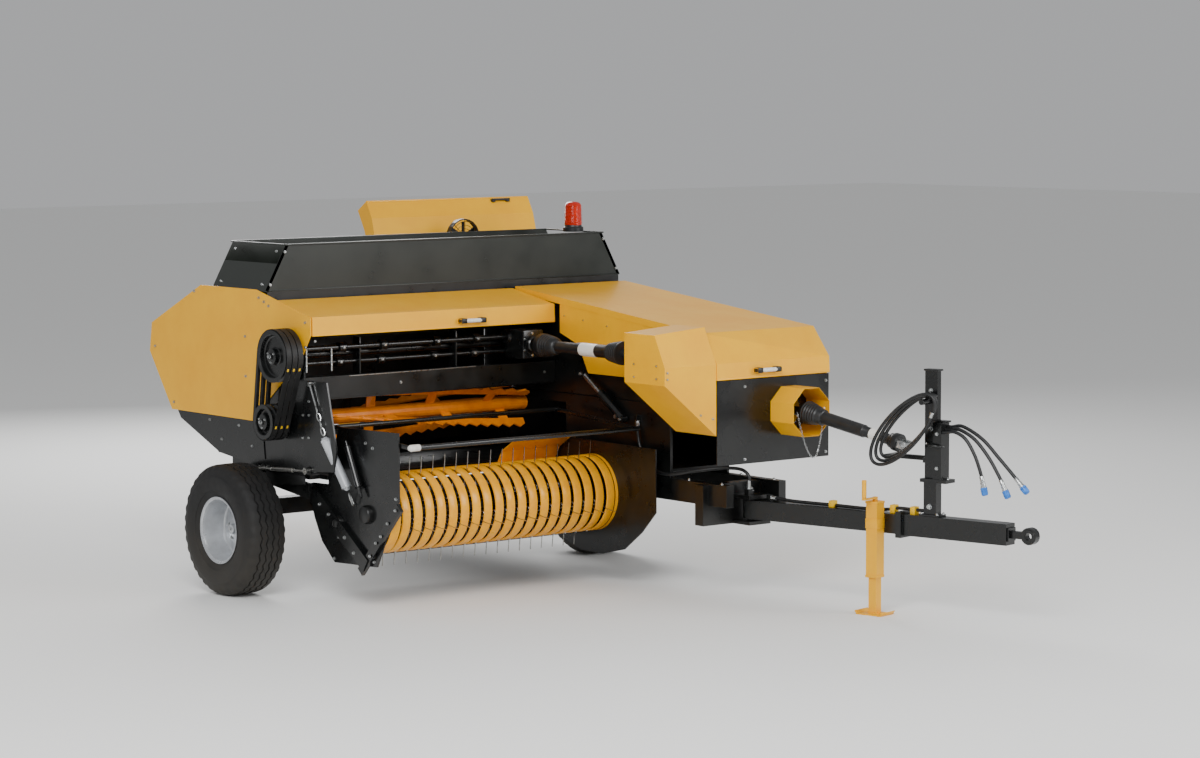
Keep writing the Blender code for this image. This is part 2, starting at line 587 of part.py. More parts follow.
def feeder_rotor():
    """The feeder: a tube, arms, and four toothed bars that wind round it."""
    centre = Vector((0, *LOWER_PULLEY))
    start, end = -1.20, 0.55
    shapes = [disc("X", LOWER_PULLEY, 0.05, (-1.27, 0.60), 16)]
    for strand in range(4):
        phase = math.radians(75 + 90 * strand)
        shapes.append(toothed_bar(start, end, phase, centre))
        for station in range(4):
            along = start + 0.09 + 0.11 * (strand % 2) + 0.46 * station
            angle = bar_angle((along - start) / (end - start), phase)
            arm = block((along - 0.035, along + 0.035), (-0.004, 0.004), (0.03, 0.14))
            turn = Matrix.Rotation(angle - math.pi / 2, 4, "X")
            shapes.append(placed(arm, Matrix.Translation(centre) @ turn))
    solid("feeder_rotor", "orange_paint", shapes, origin=(start, *LOWER_PULLEY))


def bar_angle(share, phase):
    """Angle of a helical bar at a share of its length."""
    return phase + math.radians(75) * share


def toothed_bar(start, end, phase, centre, teeth=18):
    """A helical strip whose outer edge is a row of saw teeth."""
    shape = bmesh.new()
    rings = []
    for step in range(2 * teeth + 1):
        share = step / (2 * teeth)
        along = start + (end - start) * share
        angle = bar_angle(share, phase)
        outward = Vector((0, math.cos(angle), math.sin(angle)))
        aside = Vector((0, -math.sin(angle), math.cos(angle))) * 0.006
        tip = 0.185 if step % 2 else 0.16
        ring = []
        for radius, side in ((0.118, -1), (0.118, 1), (tip, 1), (tip, -1)):
            point = centre + Vector((along, 0, 0)) + outward * radius + aside * side
            ring.append(shape.verts.new(point))
        rings.append(ring)
    for low, high in zip(rings, rings[1:]):
        for corner in range(4):
            after = (corner + 1) % 4
            shape.faces.new((low[corner], low[after], high[after], high[corner]))
    shape.faces.new(rings[0])
    shape.faces.new(rings[-1])
    bmesh.ops.recalc_face_normals(shape, faces=shape.faces)
    return shape


def pickup_frame():
    """The pickup's two end plates, each with the channel arm that it is lifted by."""
    left, right = PICKUP_X
    plates = {
        "right": (left, left + 0.008, [
            (-0.43, 1.135), (-0.43, 0.72), (-0.19, 0.28), (0.28, 0.26), (0.42, 0.38), (0.50, 0.52),
            (0.54, 0.62), (0.52, 0.745), (0.34, 0.75), (0.34, 0.94), (0.26, 1.02), (0.22, 1.12)]),
        "left": (right, right - 0.008, [
            (-0.72, 0.93), (-0.72, 0.52), (-0.58, 0.38), (-0.40, 0.25), (-0.18, 0.20), (0.05, 0.20),
            (0.25, 0.26), (0.42, 0.42), (0.52, 0.62), (0.52, 0.745), (0.34, 0.75), (0.34, 0.94)]),
    }
    for name, (outer, inner, outline) in plates.items():
        outward = 1 if outer > inner else -1
        low, high = sorted((outer - outward * 0.003, outer + outward * 0.03))
        shapes = [prism(outline, "X", sorted((inner, outer))),
                  prism(strip(PICKUP_PIVOT, PICKUP_ARM_END, 0.045), "X", (low, high)),
                  disc("X", PICKUP_PIVOT, 0.0455, (low + 0.001, high - 0.001), 16)]
        if name == "right":
            brace = strip((-0.455, 0.68), (-0.03, 0.235), 0.03)
            shapes.append(prism(brace, "X", (low + 0.008, high - 0.002)))
        holes = [disc("X", REEL, 0.045, (low - 0.1, high + 0.1), 16),
                 disc("X", PICKUP_PIVOT, 0.022, (low - 0.1, high + 0.1), 16)]
        solid(f"pickup_{name}_plate", "black_paint", shapes, holes, origin=(0, *PICKUP_PIVOT))


def strippers():
    """The curved bands that the tines pass between, their back tube and the crop guide."""
    inside = (PICKUP_X[0] + 0.008 + GAP, PICKUP_X[1] - 0.008 - GAP)
    shapes = [block(inside, (0.27, 0.32), (0.745, 0.795))]
    for number in range(TINE_COUNT):
        start = FIRST_BAND + TINE_PITCH * number + 0.012
        outline = [(0.325, REEL[1] + 0.180)] + arc(REEL, STRIPPER_RADIUS, 60, 285, 11)
        inner = arc(REEL, STRIPPER_RADIUS - 0.005, 285, 60, 11) + [(0.325, REEL[1] + 0.175)]
        shapes.append(prism(outline + inner, "X", (start, start + TINE_PITCH - 0.024)))
    guide = [(0.31, 0.79), (0.26, 0.87), (0.12, 0.955), (0.12, 0.961), (0.262, 0.877), (0.316, 0.79)]
    shapes.append(prism(guide, "X", (0.12, 0.60)))
    solid("strippers", "yellow_paint", shapes, origin=(0, *PICKUP_PIVOT))


def tine_reel():
    """The reel: a shaft, two spiders and four bars of bent spring tines."""
    left, right = FIRST_BAND + 0.004, FIRST_BAND + TINE_PITCH * TINE_COUNT - 0.004
    shapes = [disc("X", REEL, 0.03, (PICKUP_X[0] + 0.02, PICKUP_X[1] - 0.02), 12)]
    for x in (left + 0.02, (left + right) / 2, right - 0.026):
        shapes.append(disc("X", REEL, 0.15, (x, x + 0.006), 16))
    for quarter in range(4):
        shapes.append(tine_bar(left, right, math.radians(20 + 90 * quarter)))
    solid("tine_reel", "zinc_steel", shapes, origin=(left, *REEL))


def tine_bar(left, right, angle):
    """A bar with a row of tines, made by pulling small faces of the bar outwards."""
    outward = Vector((0, math.cos(angle), math.sin(angle)))
    trail = Vector((0, math.sin(angle), -math.cos(angle)))
    middle = Vector((0, *REEL)) + outward * 0.14
    half = 0.011
    shape = bmesh.new()
    stations = [left]
    for number in range(TINE_COUNT - 1):
        along = FIRST_BAND + TINE_PITCH * (number + 1)
        stations += [along - 0.0035, along + 0.0035]
    stations.append(right)
    rings = []
    for along in stations:
        ring = []
        for out, side in ((-half, -half), (half, -half), (half, half), (-half, half)):
            ring.append(shape.verts.new(middle + Vector((along, 0, 0)) + outward * out + trail * side))
        rings.append(ring)
    roots = []
    for number, (low, high) in enumerate(zip(rings, rings[1:])):
        for corner in range(4):
            after = (corner + 1) % 4
            face = shape.faces.new((low[corner], low[after], high[after], high[corner]))
            if corner == 1 and number % 2:
                roots.append(face)
    shape.faces.new(rings[0])
    shape.faces.new(rings[-1])
    for face in roots:
        for reach, lag, narrow in ((0.12, 0.0, 0.4), (0.102, 0.035, 1.0)):
            pushed = bmesh.ops.extrude_discrete_faces(shape, faces=[face])
            face = pushed["faces"][0]
            centre = face.calc_center_median()
            for corner in face.verts:
                offset = corner.co - centre
                offset = Vector((offset.x, offset.y * narrow, offset.z * narrow))
                corner.co = centre + offset + outward * reach + trail * lag
    bmesh.ops.recalc_face_normals(shape, faces=shape.faces)
    return shape


def wind_guard():
    """The hinged bar that holds the crop down over the tines."""
    hinge, bar = (0.29, 1.115), (-0.53, 1.05)
    left, right = PICKUP_X
    shapes = [disc("X", bar, 0.016, (left + 0.001, right + 0.008), 12)]
    for x in (left + 0.014, right - 0.026):
        shapes.append(prism(strip(bar, hinge, 0.014), "X", (x, x + 0.008)))
    shapes.append(disc("X", hinge, 0.015, (left + 0.012, right - 0.016), 12))
    solid("wind_guard", "black_paint", shapes, origin=(0, *hinge))


def lift_cylinder():
    """The hydraulic cylinder on the frame that lifts the pickup by a chain."""
    low, high = Vector((0.674, -0.31, 1.09)), Vector((0.674, 0.10, 1.36))
    along = (high - low).normalized()
    shapes = [rod(low, low + along * 0.26, 0.028, 16), rod(low + along * 0.25, high, 0.016, 12)]
    solid("lift_cylinder", "black_paint", shapes)


def feeder_drive():
    """The angle gearbox, the guarded shaft to the side cover, and their frame beam."""
    x, z = 0.40, 1.555
    shapes = [
        block((x - 0.07, x + 0.09), (0.30, 0.50), (z - 0.09, z + 0.09)),
        disc("Y", (x, z), 0.02, (0.20, 0.32), 12),
    ]
    solid("angle_gearbox", "black_paint", shapes)
    profile = [(-0.8997, 0), (-0.8997, 0.03), (-0.66, 0.03), (-0.66, 0.075), (-0.52, 0.06), (-0.50, 0.042),
               (0.02, 0.036), (0.04, 0.06), (0.19, 0.078), (0.19, 0.055), (0.15, 0.055), (0.15, 0)]
    solid("feeder_drive_shaft", "black_plastic", [turned(profile, "Y", (x, z), 20)])


def pto_shaft():
    """The guarded input shaft, from the flywheel to its rest on the hose stand."""
    start = Vector((INPUT_AXIS[0], PTO_JOINT_Y, INPUT_AXIS[1]))
    direction = Vector((math.sin(PTO_HEADING), -math.cos(PTO_HEADING), -0.18)).normalized()
    profile = [(-0.02, 0), (-0.02, 0.05), (0.02, 0.075), (0.12, 0.062), (0.14, 0.05), (0.16, 0.05),
               (0.17, 0.040), (0.50, 0.040), (0.51, 0.034), (0.72, 0.034), (0.72, 0.045), (0.76, 0.055),
               (0.80, 0.055), (0.80, 0)]
    shape = turned(profile, "Z", (0, 0), 20)
    turn = direction.to_track_quat("Z", "Y").to_matrix().to_4x4()
    shape.transform(Matrix.Translation(start) @ turn)
    solid("pto_shaft", "black_plastic", [shape], origin=start)


def on_drawbar(reach, aside, height=0.0):
    """A point on the drawbar: along it from its pivot, to its left side, and up."""
    along = Vector((math.sin(DRAWBAR_ANGLE), -math.cos(DRAWBAR_ANGLE), 0))
    left = Vector((math.cos(DRAWBAR_ANGLE), math.sin(DRAWBAR_ANGLE), 0))
    return Vector((*DRAWBAR_PIVOT, 0)) + along * reach + left * aside + Vector((0, 0, height))


def drawbar_shape(shape):
    """Move a shape from the drawbar's own directions, pivot at the origin, to its place."""
    turn = Matrix.Rotation(DRAWBAR_ANGLE, 4, "Z")
    return placed(shape, Matrix.Translation((*DRAWBAR_PIVOT, 0)) @ turn)


def drawbar_block(reach, aside, z):
    """A box in the drawbar's own directions."""
    return drawbar_shape(block(aside, (-reach[1], -reach[0]), z))


def drawbar():
    """The swinging drawbar with its joint plates, hitch eye, jack and hose stand."""
    low, high = DRAWBAR_Z
    pivot = (*DRAWBAR_PIVOT, (low + high) / 2)
    hole = disc("Z", DRAWBAR_PIVOT, 0.0235, (low - 0.1, high + 0.1), 16)
    shapes = [drawbar_block((0.0, 1.16), (-0.05, 0.05), DRAWBAR_Z),
              disc("Z", DRAWBAR_PIVOT, 0.0505, (low + 0.001, high - 0.001), 16),
              drawbar_block((1.155, 1.195), (-0.07, 0.07), (low - 0.02, high + 0.02)),
              drawbar_block((1.19, 1.94), (-0.049, 0.049), (low - 0.005, high + 0.005)),
              drawbar_block((0.135, 0.165), (-0.016, 0.016), (high - 0.005, high + 0.04))]
    solid("drawbar_beam", "black_paint", shapes, [hole], origin=pivot)
    centre = (-EYE_REACH, pivot[2])
    ring = drawbar_shape(disc("X", centre, EYE_RADIUS, (-EYE_HALF, EYE_HALF), 20))
    bore = drawbar_shape(disc("X", centre, 0.022, (-0.1, 0.1), 16))
    neck = drawbar_block((1.9403, EYE_REACH - 0.03), (-0.018, 0.018), (pivot[2] - 0.022, pivot[2] + 0.022))
    foot = drawbar_block((1.9404, 1.952), (-0.04, 0.04), (pivot[2] - 0.04, pivot[2] + 0.04))
    solid("hitch_eye", "black_paint", [ring, neck, foot], [bore], origin=pivot)
    jack(pivot)
    hose_stand(pivot)


def jack(pivot):
    """The parking jack: a square tube with its crank, and a leg that slides in it."""
    middle = -0.05 - GAP - 0.04
    reach = JACK_REACH
    tube = [drawbar_block((reach - 0.04, reach + 0.04), (middle - 0.04, middle + 0.04), (0.23, 0.70)),
            drawbar_block((reach - 0.012, reach + 0.012), (middle - 0.012, middle + 0.012), (0.69, 0.73)),
            drawbar_block((reach - 0.011, reach + 0.011), (middle - 0.13, middle + 0.011), (0.718, 0.728)),
            drawbar_block((reach - 0.010, reach + 0.010), (middle - 0.129, middle - 0.109), (0.72, 0.83))]
    bore = drawbar_block((reach - 0.034, reach + 0.034), (middle - 0.034, middle + 0.034), (0.1, 0.69))
    solid("jack_tube", "yellow_paint", tube, [bore], origin=pivot)
    leg = [drawbar_block((reach - 0.028, reach + 0.028), (middle - 0.028, middle + 0.028), (0.006, 0.40)),
           drawbar_block((reach - 0.09, reach + 0.09), (middle - 0.07, middle + 0.07), (0.0, 0.008))]
    solid("jack_leg", "yellow_paint", leg, origin=on_drawbar(reach, middle))


def hose_stand(pivot):
    """The post on the drawbar that carries the hoses and the input shaft's rest."""
    top = DRAWBAR_Z[1] + 0.005 + GAP
    reach = STAND_REACH
    rest = (0.955, 0.985)
    shapes = [
        drawbar_block((reach - 0.07, reach + 0.07), (-0.045, 0.045), (top, top + 0.012)),
        drawbar_block((reach - 0.045, reach + 0.045), (-0.03, 0.03), (top + 0.01, 0.842)),
        drawbar_block((reach - 0.06, reach + 0.13), (-0.05, 0.05), (0.84, 0.862)),
        drawbar_block((reach - 0.045, reach + 0.045), (-0.02, 0.02), (0.86, 1.52)),
        drawbar_block((reach + 0.03, reach + 0.09), (-0.045, 0.045), (0.861, 1.21)),
        drawbar_shape(disc("X", (-reach, 1.337), 0.018, (-0.13, 0.0), 12)),
        drawbar_block((reach - 0.06, reach - 0.03), (-0.019, 0.108), rest),
        drawbar_block((reach - 0.36, reach - 0.031), (0.078, 0.107), (rest[0] + 0.001, rest[1] - 0.001)),
        drawbar_block((reach - 0.365, reach - 0.315), (0.013, 0.173), rest),
    ]
    solid("hose_stand", "black_paint", shapes, origin=pivot)


# Hoses.  Each route runs from the end that is held to the free one.
LIFT_HOSE = [(0.690, -0.44, 1.090), (0.690, -0.44, 1.04), (0.686, -0.475, 0.92), (0.684, -0.56, 0.815),
             (0.688, -0.69, 0.768), (0.71, -0.82, 0.775), (0.77, -0.96, 0.805), (0.86, -1.09, 0.825),
             (0.918, -1.20, 0.822), (0.935, -1.255, 0.785), (0.935, -1.255, 0.74), (0.935, -1.255, 0.701)]
# On the drawbar: reach, aside, height
DRAWBAR_HOSE = [(0.166, 0.0, 0.648), (0.21, 0.0, 0.648), (0.34, -0.004, 0.640), (0.62, 0.006, 0.638),
                (0.90, -0.004, 0.638), (1.05, 0.0, 0.645), (1.12, 0.0, 0.658), (1.20, 0.0, 0.659),
                (1.28, 0.0, 0.658), (1.334, 0.0, 0.658)]
TAIL_HOSES = {
    1: [(1.473, -0.028, 1.15), (1.50, -0.028, 1.152), (1.56, -0.029, 1.158), (1.636, -0.03, 1.12),
        (1.70, -0.03, 1.03), (1.742, -0.03, 0.93), (1.757, -0.03, 0.875)],
    2: [(1.473, 0.0, 1.165), (1.50, 0.0, 1.167), (1.57, 0.0, 1.172), (1.68, 0.0, 1.12),
        (1.779, 0.0, 1.02), (1.855, 0.0, 0.91), (1.882, 0.0, 0.86)],
    3: [(1.473, 0.028, 1.18), (1.50, 0.028, 1.182), (1.58, 0.029, 1.188), (1.718, 0.03, 1.12),
        (1.84, 0.03, 1.01), (1.935, 0.03, 0.92), (1.975, 0.03, 0.88)],
}


def smooth(points, spacing):
    """Points at an even spacing along a smooth curve through the given ones."""
    ends = [points[0] * 2 - points[1]] + points + [points[-1] * 2 - points[-2]]
    fine = []
    for before, start, end, after in zip(ends, ends[1:], ends[2:], ends[3:]):
        for step in range(20):
            share = step / 20
            fine.append(0.5 * (2 * start + (end - before) * share
                               + (2 * before - 5 * start + 4 * end - after) * share ** 2
                               + (3 * start - before - 3 * end + after) * share ** 3))
    fine.append(points[-1])
    length = sum((end - start).length for start, end in zip(fine, fine[1:]))
    count = max(2, round(length / spacing))
    result, travelled = [fine[0]], 0.0
    for start, end in zip(fine, fine[1:]):
        piece = (end - start).length
        while len(result) < count and travelled + piece >= length * len(result) / count:
            share = (length * len(result) / count - travelled) / piece
            result.append(start.lerp(end, share))
        travelled += piece
    return result + [fine[-1]]


def tube(name, material, points, origin=(0, 0, 0)):
    """A hose along a smooth curve through its route's points."""
    route = smooth([Vector(point) - Vector(origin) for point in points], 4 * HOSE_RADIUS)
    curve = bpy.data.curves.new(name, "CURVE")
    curve.dimensions = "3D"
    curve.bevel_depth = HOSE_RADIUS
    curve.bevel_resolution = 2
    curve.use_fill_caps = True
    spline = curve.splines.new("POLY")
    spline.points.add(len(route) - 1)
    for knot, place in zip(spline.points, route):
        knot.co = (*place, 1.0)
    curve.materials.append(finish(material))
    item = bpy.data.objects.new(name, curve)
    item.location = origin
    bpy.context.collection.objects.link(item)


def hoses():
    """The lift hose, the drawbar's hose, the spare coil, and three tails with couplers."""
    pivot = (*DRAWBAR_PIVOT, sum(DRAWBAR_Z) / 2)
    tube("lift_hose", "hose_rubber", LIFT_HOSE)
    tube("drawbar_hose", "hose_rubber", [on_drawbar(*point) for point in DRAWBAR_HOSE], pivot)
    hose_coil(pivot)
    for number, points in TAIL_HOSES.items():
        route = [on_drawbar(*point) for point in points]
        tube(f"tail_hose_{number}", "hose_rubber", route, pivot)
        coupler(number, route[-1], route[-1] - route[-2], pivot)


def coupler(number, end, along, pivot):
    """A quick coupler with its dust cap on a hose's end."""
    profile = [(GAP, 0), (GAP, 0.015), (0.04, 0.015), (0.042, 0.021), (0.085, 0.021), (0.09, 0.016),
               (0.09, 0)]
    turn = along.to_track_quat("Z", "Y").to_matrix().to_4x4()
    shape = placed(turned(profile, "Z", (0, 0), 12), Matrix.Translation(end) @ turn)
    solid(f"coupler_{number}", "blue_plastic", [shape], origin=pivot)


def hose_coil(pivot):
    """The spare hose's coil, hung on the stand's peg: one closed oval ring."""
    long_way = Vector((0, -math.cos(COIL_SLOPE), math.sin(COIL_SLOPE)))
    short_way = Vector((0, -long_way.z, long_way.y))
    shape = bmesh.new()
    rings = []
    for step in range(24):
        angle = 2 * math.pi * step / 24
        middle = Vector((COIL_ASIDE, -COIL_REACH, COIL_Z)) + long_way * COIL_LONG * math.cos(angle)
        middle += short_way * COIL_SHORT * math.sin(angle)
        outward = long_way * math.cos(angle) * COIL_SHORT + short_way * math.sin(angle) * COIL_LONG
        outward.normalize()
        ring = []
        for corner in range(8):
            turn = 2 * math.pi * corner / 8
            offset = outward * 0.022 * math.cos(turn) + Vector((0.03, 0, 0)) * math.sin(turn)
            ring.append(shape.verts.new(middle + offset))
        rings.append(ring)
    for low, high in zip(rings, rings[1:] + rings[:1]):
        for corner in range(8):
            after = (corner + 1) % 8
            shape.faces.new((low[corner], low[after], high[after], high[corner]))
    bmesh.ops.recalc_face_normals(shape, faces=shape.faces)
    solid("hose_coil", "hose_rubber", [drawbar_shape(shape)], origin=pivot)


def build():
    """Make every piece."""
    clear_scene()
    wheel(-1, "right")
    wheel(1, "left")
    axle()
    chassis_frame()
    chamber()
    density_screws()
    chute()
    knotters()
    knotter_cover()
    knotter_fan()
    gearbox_and_flywheel()
    hood_body()
    pto_guard()
    side_cover()
    flywheel_hood()
    feeder_hood()
    end_shield()
    housing()
    twine_box()
    beacon()
    pulleys()
    belt()
    feeder_rotor()
    pickup_frame()
    strippers()
    tine_reel()
    wind_guard()
    lift_cylinder()
    feeder_drive()
    pto_shaft()
    drawbar()
    hoses()


build()
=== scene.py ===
"""Looks of a small square baler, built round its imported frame.

The machine travels towards -Y, its pickup side is at -X, and the ground is at z 0.
"""
from __future__ import annotations

import json
import logging
import math
from collections.abc import Iterable, Sequence
from dataclasses import dataclass
from enum import Enum

import bmesh
import bpy
from mathutils import Matrix, Vector

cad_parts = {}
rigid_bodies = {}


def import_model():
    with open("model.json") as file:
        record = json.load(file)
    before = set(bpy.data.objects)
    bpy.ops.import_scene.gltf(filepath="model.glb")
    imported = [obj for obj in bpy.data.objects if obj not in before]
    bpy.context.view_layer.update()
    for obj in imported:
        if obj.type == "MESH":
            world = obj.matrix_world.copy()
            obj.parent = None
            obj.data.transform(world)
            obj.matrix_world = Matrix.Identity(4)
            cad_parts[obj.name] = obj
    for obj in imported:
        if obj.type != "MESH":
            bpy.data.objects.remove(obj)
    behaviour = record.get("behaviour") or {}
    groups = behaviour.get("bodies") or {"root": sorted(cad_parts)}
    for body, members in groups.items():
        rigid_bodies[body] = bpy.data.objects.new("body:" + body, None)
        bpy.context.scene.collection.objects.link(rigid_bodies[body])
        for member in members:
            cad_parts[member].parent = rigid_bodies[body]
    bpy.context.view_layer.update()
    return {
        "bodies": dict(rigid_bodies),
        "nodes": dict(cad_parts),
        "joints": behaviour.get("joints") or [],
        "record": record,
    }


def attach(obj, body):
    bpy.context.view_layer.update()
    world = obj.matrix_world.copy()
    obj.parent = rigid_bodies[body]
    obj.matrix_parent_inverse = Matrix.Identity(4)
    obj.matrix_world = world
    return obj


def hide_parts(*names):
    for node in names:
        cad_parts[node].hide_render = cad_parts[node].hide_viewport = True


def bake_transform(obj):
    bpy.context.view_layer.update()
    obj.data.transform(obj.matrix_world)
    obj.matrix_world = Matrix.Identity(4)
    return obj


LOG = logging.getLogger("square_baler")
Point = tuple[float, float, float]
Flat = tuple[float, float]
MM = 0.001


# Finishes
def linear(code: str) -> tuple[float, float, float, float]:
    """Turn an sRGB hex colour into linear values.

    Args:
        code: six hex digits after a hash sign.

    Returns:
        Linear red, green and blue, and an alpha of one.
    """
    parts = [int(code[start:start + 2], 16) / 255 for start in (1, 3, 5)]
    red, green, blue = (part / 12.92 if part <= 0.04045 else ((part + 0.055) / 1.055) ** 2.4 for part in parts)
    return red, green, blue, 1.0


def add_node(tree: bpy.types.NodeTree, kind: str, settings: dict | None = None,
             links: dict | None = None) -> bpy.types.Node:
    """Add one node to a material.

    Args:
        tree: the material's node tree.
        kind: the node's type name.
        settings: values for its sockets or properties, by name or socket number.
        links: output sockets to link, by input name or number.

    Returns:
        The new node.
    """
    made = tree.nodes.new(kind)
    for key, value in (settings or {}).items():
        if isinstance(key, int) or key in made.inputs:
            made.inputs[key].default_value = value
        else:
            setattr(made, key, value)
    for key, source in (links or {}).items():
        tree.links.new(source, made.inputs[key])
    return made


class Grain(Enum):
    """How a surface's fine relief is laid out."""

    PEEL = "peel"          # sprayed or moulded: soft round grain
    SPANGLE = "spangle"    # zinc: small crystal facets
    DRAWN = "drawn"        # grain pulled long in one direction


@dataclass(frozen=True)
class Finish:
    """A real material: its colours, gloss and the size of its grain.

    The second colour is what the first drifts towards over patches of the given size.
    """

    name: str
    slot: str
    colour: str
    shade: str
    roughness: float
    spread: float = 0.08
    metallic: float = 0.0
    coat: float = 0.0
    patch_mm: float = 300.0
    grain_mm: float = 6.0
    height_mm: float = 0.05
    grain: Grain = Grain.PEEL
    dust_top: float = 0.0
    clear: float = 0.0
    glow: float = 0.0
    gloss: float = 0.5

    def relief(self, tree: bpy.types.NodeTree, place: bpy.types.NodeSocket) -> bpy.types.NodeSocket:
        """Add the grain's texture.

        Args:
            tree: the material's node tree.
            place: the coordinates that it reads.

        Returns:
            The socket that holds the grain's height, from 0 to 1.
        """
        scale = 1000 / self.grain_mm
        if self.grain is Grain.SPANGLE:
            cells = add_node(tree, "ShaderNodeTexVoronoi", {"Scale": scale}, {"Vector": place})
            return cells.outputs["Color"]
        if self.grain is Grain.DRAWN:
            pulled = add_node(tree, "ShaderNodeMapping", {"Scale": (0.05, 1.0, 1.0)}, {"Vector": place})
            place = pulled.outputs["Vector"]
        noise = add_node(tree, "ShaderNodeTexNoise", {"Scale": scale, "Detail": 3.0}, {"Vector": place})
        return noise.outputs["Fac"]

    def material(self) -> bpy.types.Material:
        """Make the node material, or find the one made before.

        Returns:
            The material of this name.
        """
        found = bpy.data.materials.get(self.name)
        if found:
            return found
        made = bpy.data.materials.new(self.name)
        made.use_nodes = True
        tree = made.node_tree
        shader = tree.nodes["Principled BSDF"]
        place = add_node(tree, "ShaderNodeTexCoord").outputs["Object"]
        patches = add_node(tree, "ShaderNodeTexNoise", {"Scale": 1000 / self.patch_mm, "Detail": 6.0,
                                                        "Roughness": 0.6}, {"Vector": place})
        share = add_node(tree, "ShaderNodeMapRange", {"From Min": 0.38, "From Max": 0.66},
                         {"Value": patches.outputs["Fac"]})
        mix = add_node(tree, "ShaderNodeMix", {"data_type": "RGBA", 6: linear(self.colour), 7: linear(self.shade)},
                       {0: share.outputs["Result"]})
        base = mix.outputs[2]
        if self.dust_top:
            base = self.dusty(tree, place, patches.outputs["Fac"], base)
        tree.links.new(base, shader.inputs["Base Color"])
        gloss = add_node(tree, "ShaderNodeMapRange",
                         {"From Min": 0.3, "From Max": 0.7, "To Min": max(0.03, self.roughness - self.spread),
                          "To Max": min(1.0, self.roughness + self.spread)}, {"Value": patches.outputs["Fac"]})
        tree.links.new(gloss.outputs["Result"], shader.inputs["Roughness"])
        bump = add_node(tree, "ShaderNodeBump", {"Strength": 0.6, "Distance": self.height_mm * MM},
                        {"Height": self.relief(tree, place)})
        tree.links.new(bump.outputs["Normal"], shader.inputs["Normal"])
        shader.inputs["Metallic"].default_value = self.metallic
        shader.inputs["Coat Weight"].default_value = self.coat
        shader.inputs["Specular IOR Level"].default_value = self.gloss
        shader.inputs["Transmission Weight"].default_value = self.clear
        if self.glow:
            shader.inputs["Emission Color"].default_value = linear(self.colour)
            shader.inputs["Emission Strength"].default_value = self.glow
        return made

    def dusty(self, tree: bpy.types.NodeTree, place: bpy.types.NodeSocket, patches: bpy.types.NodeSocket,
              base: bpy.types.NodeSocket) -> bpy.types.NodeSocket:
        """Lay thin dust over what is near the ground.

        Args:
            tree: the material's node tree.
            place: object coordinates.
            patches: a noise that breaks the dust up.
            base: the colour under the dust.

        Returns:
            The dusted colour's socket.
        """
        height = add_node(tree, "ShaderNodeSeparateXYZ", None, {0: place})
        low = add_node(tree, "ShaderNodeMapRange", {"From Max": self.dust_top, "To Min": 0.22, "To Max": 0.0},
                       {"Value": height.outputs["Z"]})
        amount = add_node(tree, "ShaderNodeMath", {"operation": "MULTIPLY"}, {0: low.outputs["Result"], 1: patches})
        dust = add_node(tree, "ShaderNodeMix", {"data_type": "RGBA", 7: linear("#8C8374")},
                        {0: amount.outputs["Value"], 6: base})
        return dust.outputs[2]


# Sprayed enamel on folded sheet steel: glossy, with soft orange peel drawn 6 mm wide to show
YELLOW = Finish("yellow_enamel_on_sheet", "yellow_paint", "#F4B300", "#EEA900", 0.36, 0.05, coat=0.12, gloss=0.35)
BAND_YELLOW = Finish("yellow_enamel_on_bands", "yellow_paint", "#F0A900", "#E69A00", 0.32, 0.06, coat=0.12,
                     patch_mm=60, gloss=0.35)
ORANGE = Finish("orange_enamel_on_feeder", "orange_paint", "#EE8A00", "#DB7600", 0.38, coat=0.2, patch_mm=80)
BLACK = Finish("black_semi_gloss_enamel", "black_paint", "#08090A", "#0E100F", 0.28, 0.08, coat=0.1,
               patch_mm=180, height_mm=0.06)
CHASSIS_BLACK = Finish("black_chassis_enamel", "black_paint", "#070808", "#0F100F", 0.34, 0.10, coat=0.05,
                       patch_mm=120, dust_top=0.55)
BOX_BLACK = Finish("black_green_enamel_on_box", "black_paint", "#131812", "#1A1F19", 0.32, 0.06, coat=0.1)
# Vulcanised tread rubber: matt, with fine moulding grain and road dust
TYRE = Finish("tyre_tread_rubber", "tyre_rubber", "#0D0D0D", "#161515", 0.72, 0.10, patch_mm=70, grain_mm=5,
              height_mm=0.25, dust_top=0.6)
BELT_RUBBER = Finish("wrapped_belt_rubber", "hose_rubber", "#0A0A0A", "#141414", 0.55, patch_mm=40, grain_mm=3,
                     height_mm=0.12)
HOSE_RUBBER = Finish("braided_hose_rubber", "hose_rubber", "#121314", "#202122", 0.42, 0.1, patch_mm=50,
                     grain_mm=3, height_mm=0.1)
# Sprayed aluminium-coloured lacquer on a pressed rim
SILVER = Finish("silver_lacquer_on_rim", "silver_paint", "#C9CCD0", "#B4B7BB", 0.34, metallic=0.55,
                patch_mm=90, dust_top=0.75)
# Electroplated zinc: bright, with small crystal facets
ZINC = Finish("zinc_plated_steel", "zinc_steel", "#C9CBCC", "#A9ABA8", 0.30, 0.10, 1.0, patch_mm=20,
              grain_mm=3, height_mm=0.04, grain=Grain.SPANGLE)
SPRING_STEEL = Finish("drawn_spring_steel", "zinc_steel", "#B4B4B0", "#8F8D88", 0.32, 0.10, 1.0, patch_mm=30,
                      grain_mm=2, height_mm=0.03, grain=Grain.DRAWN)
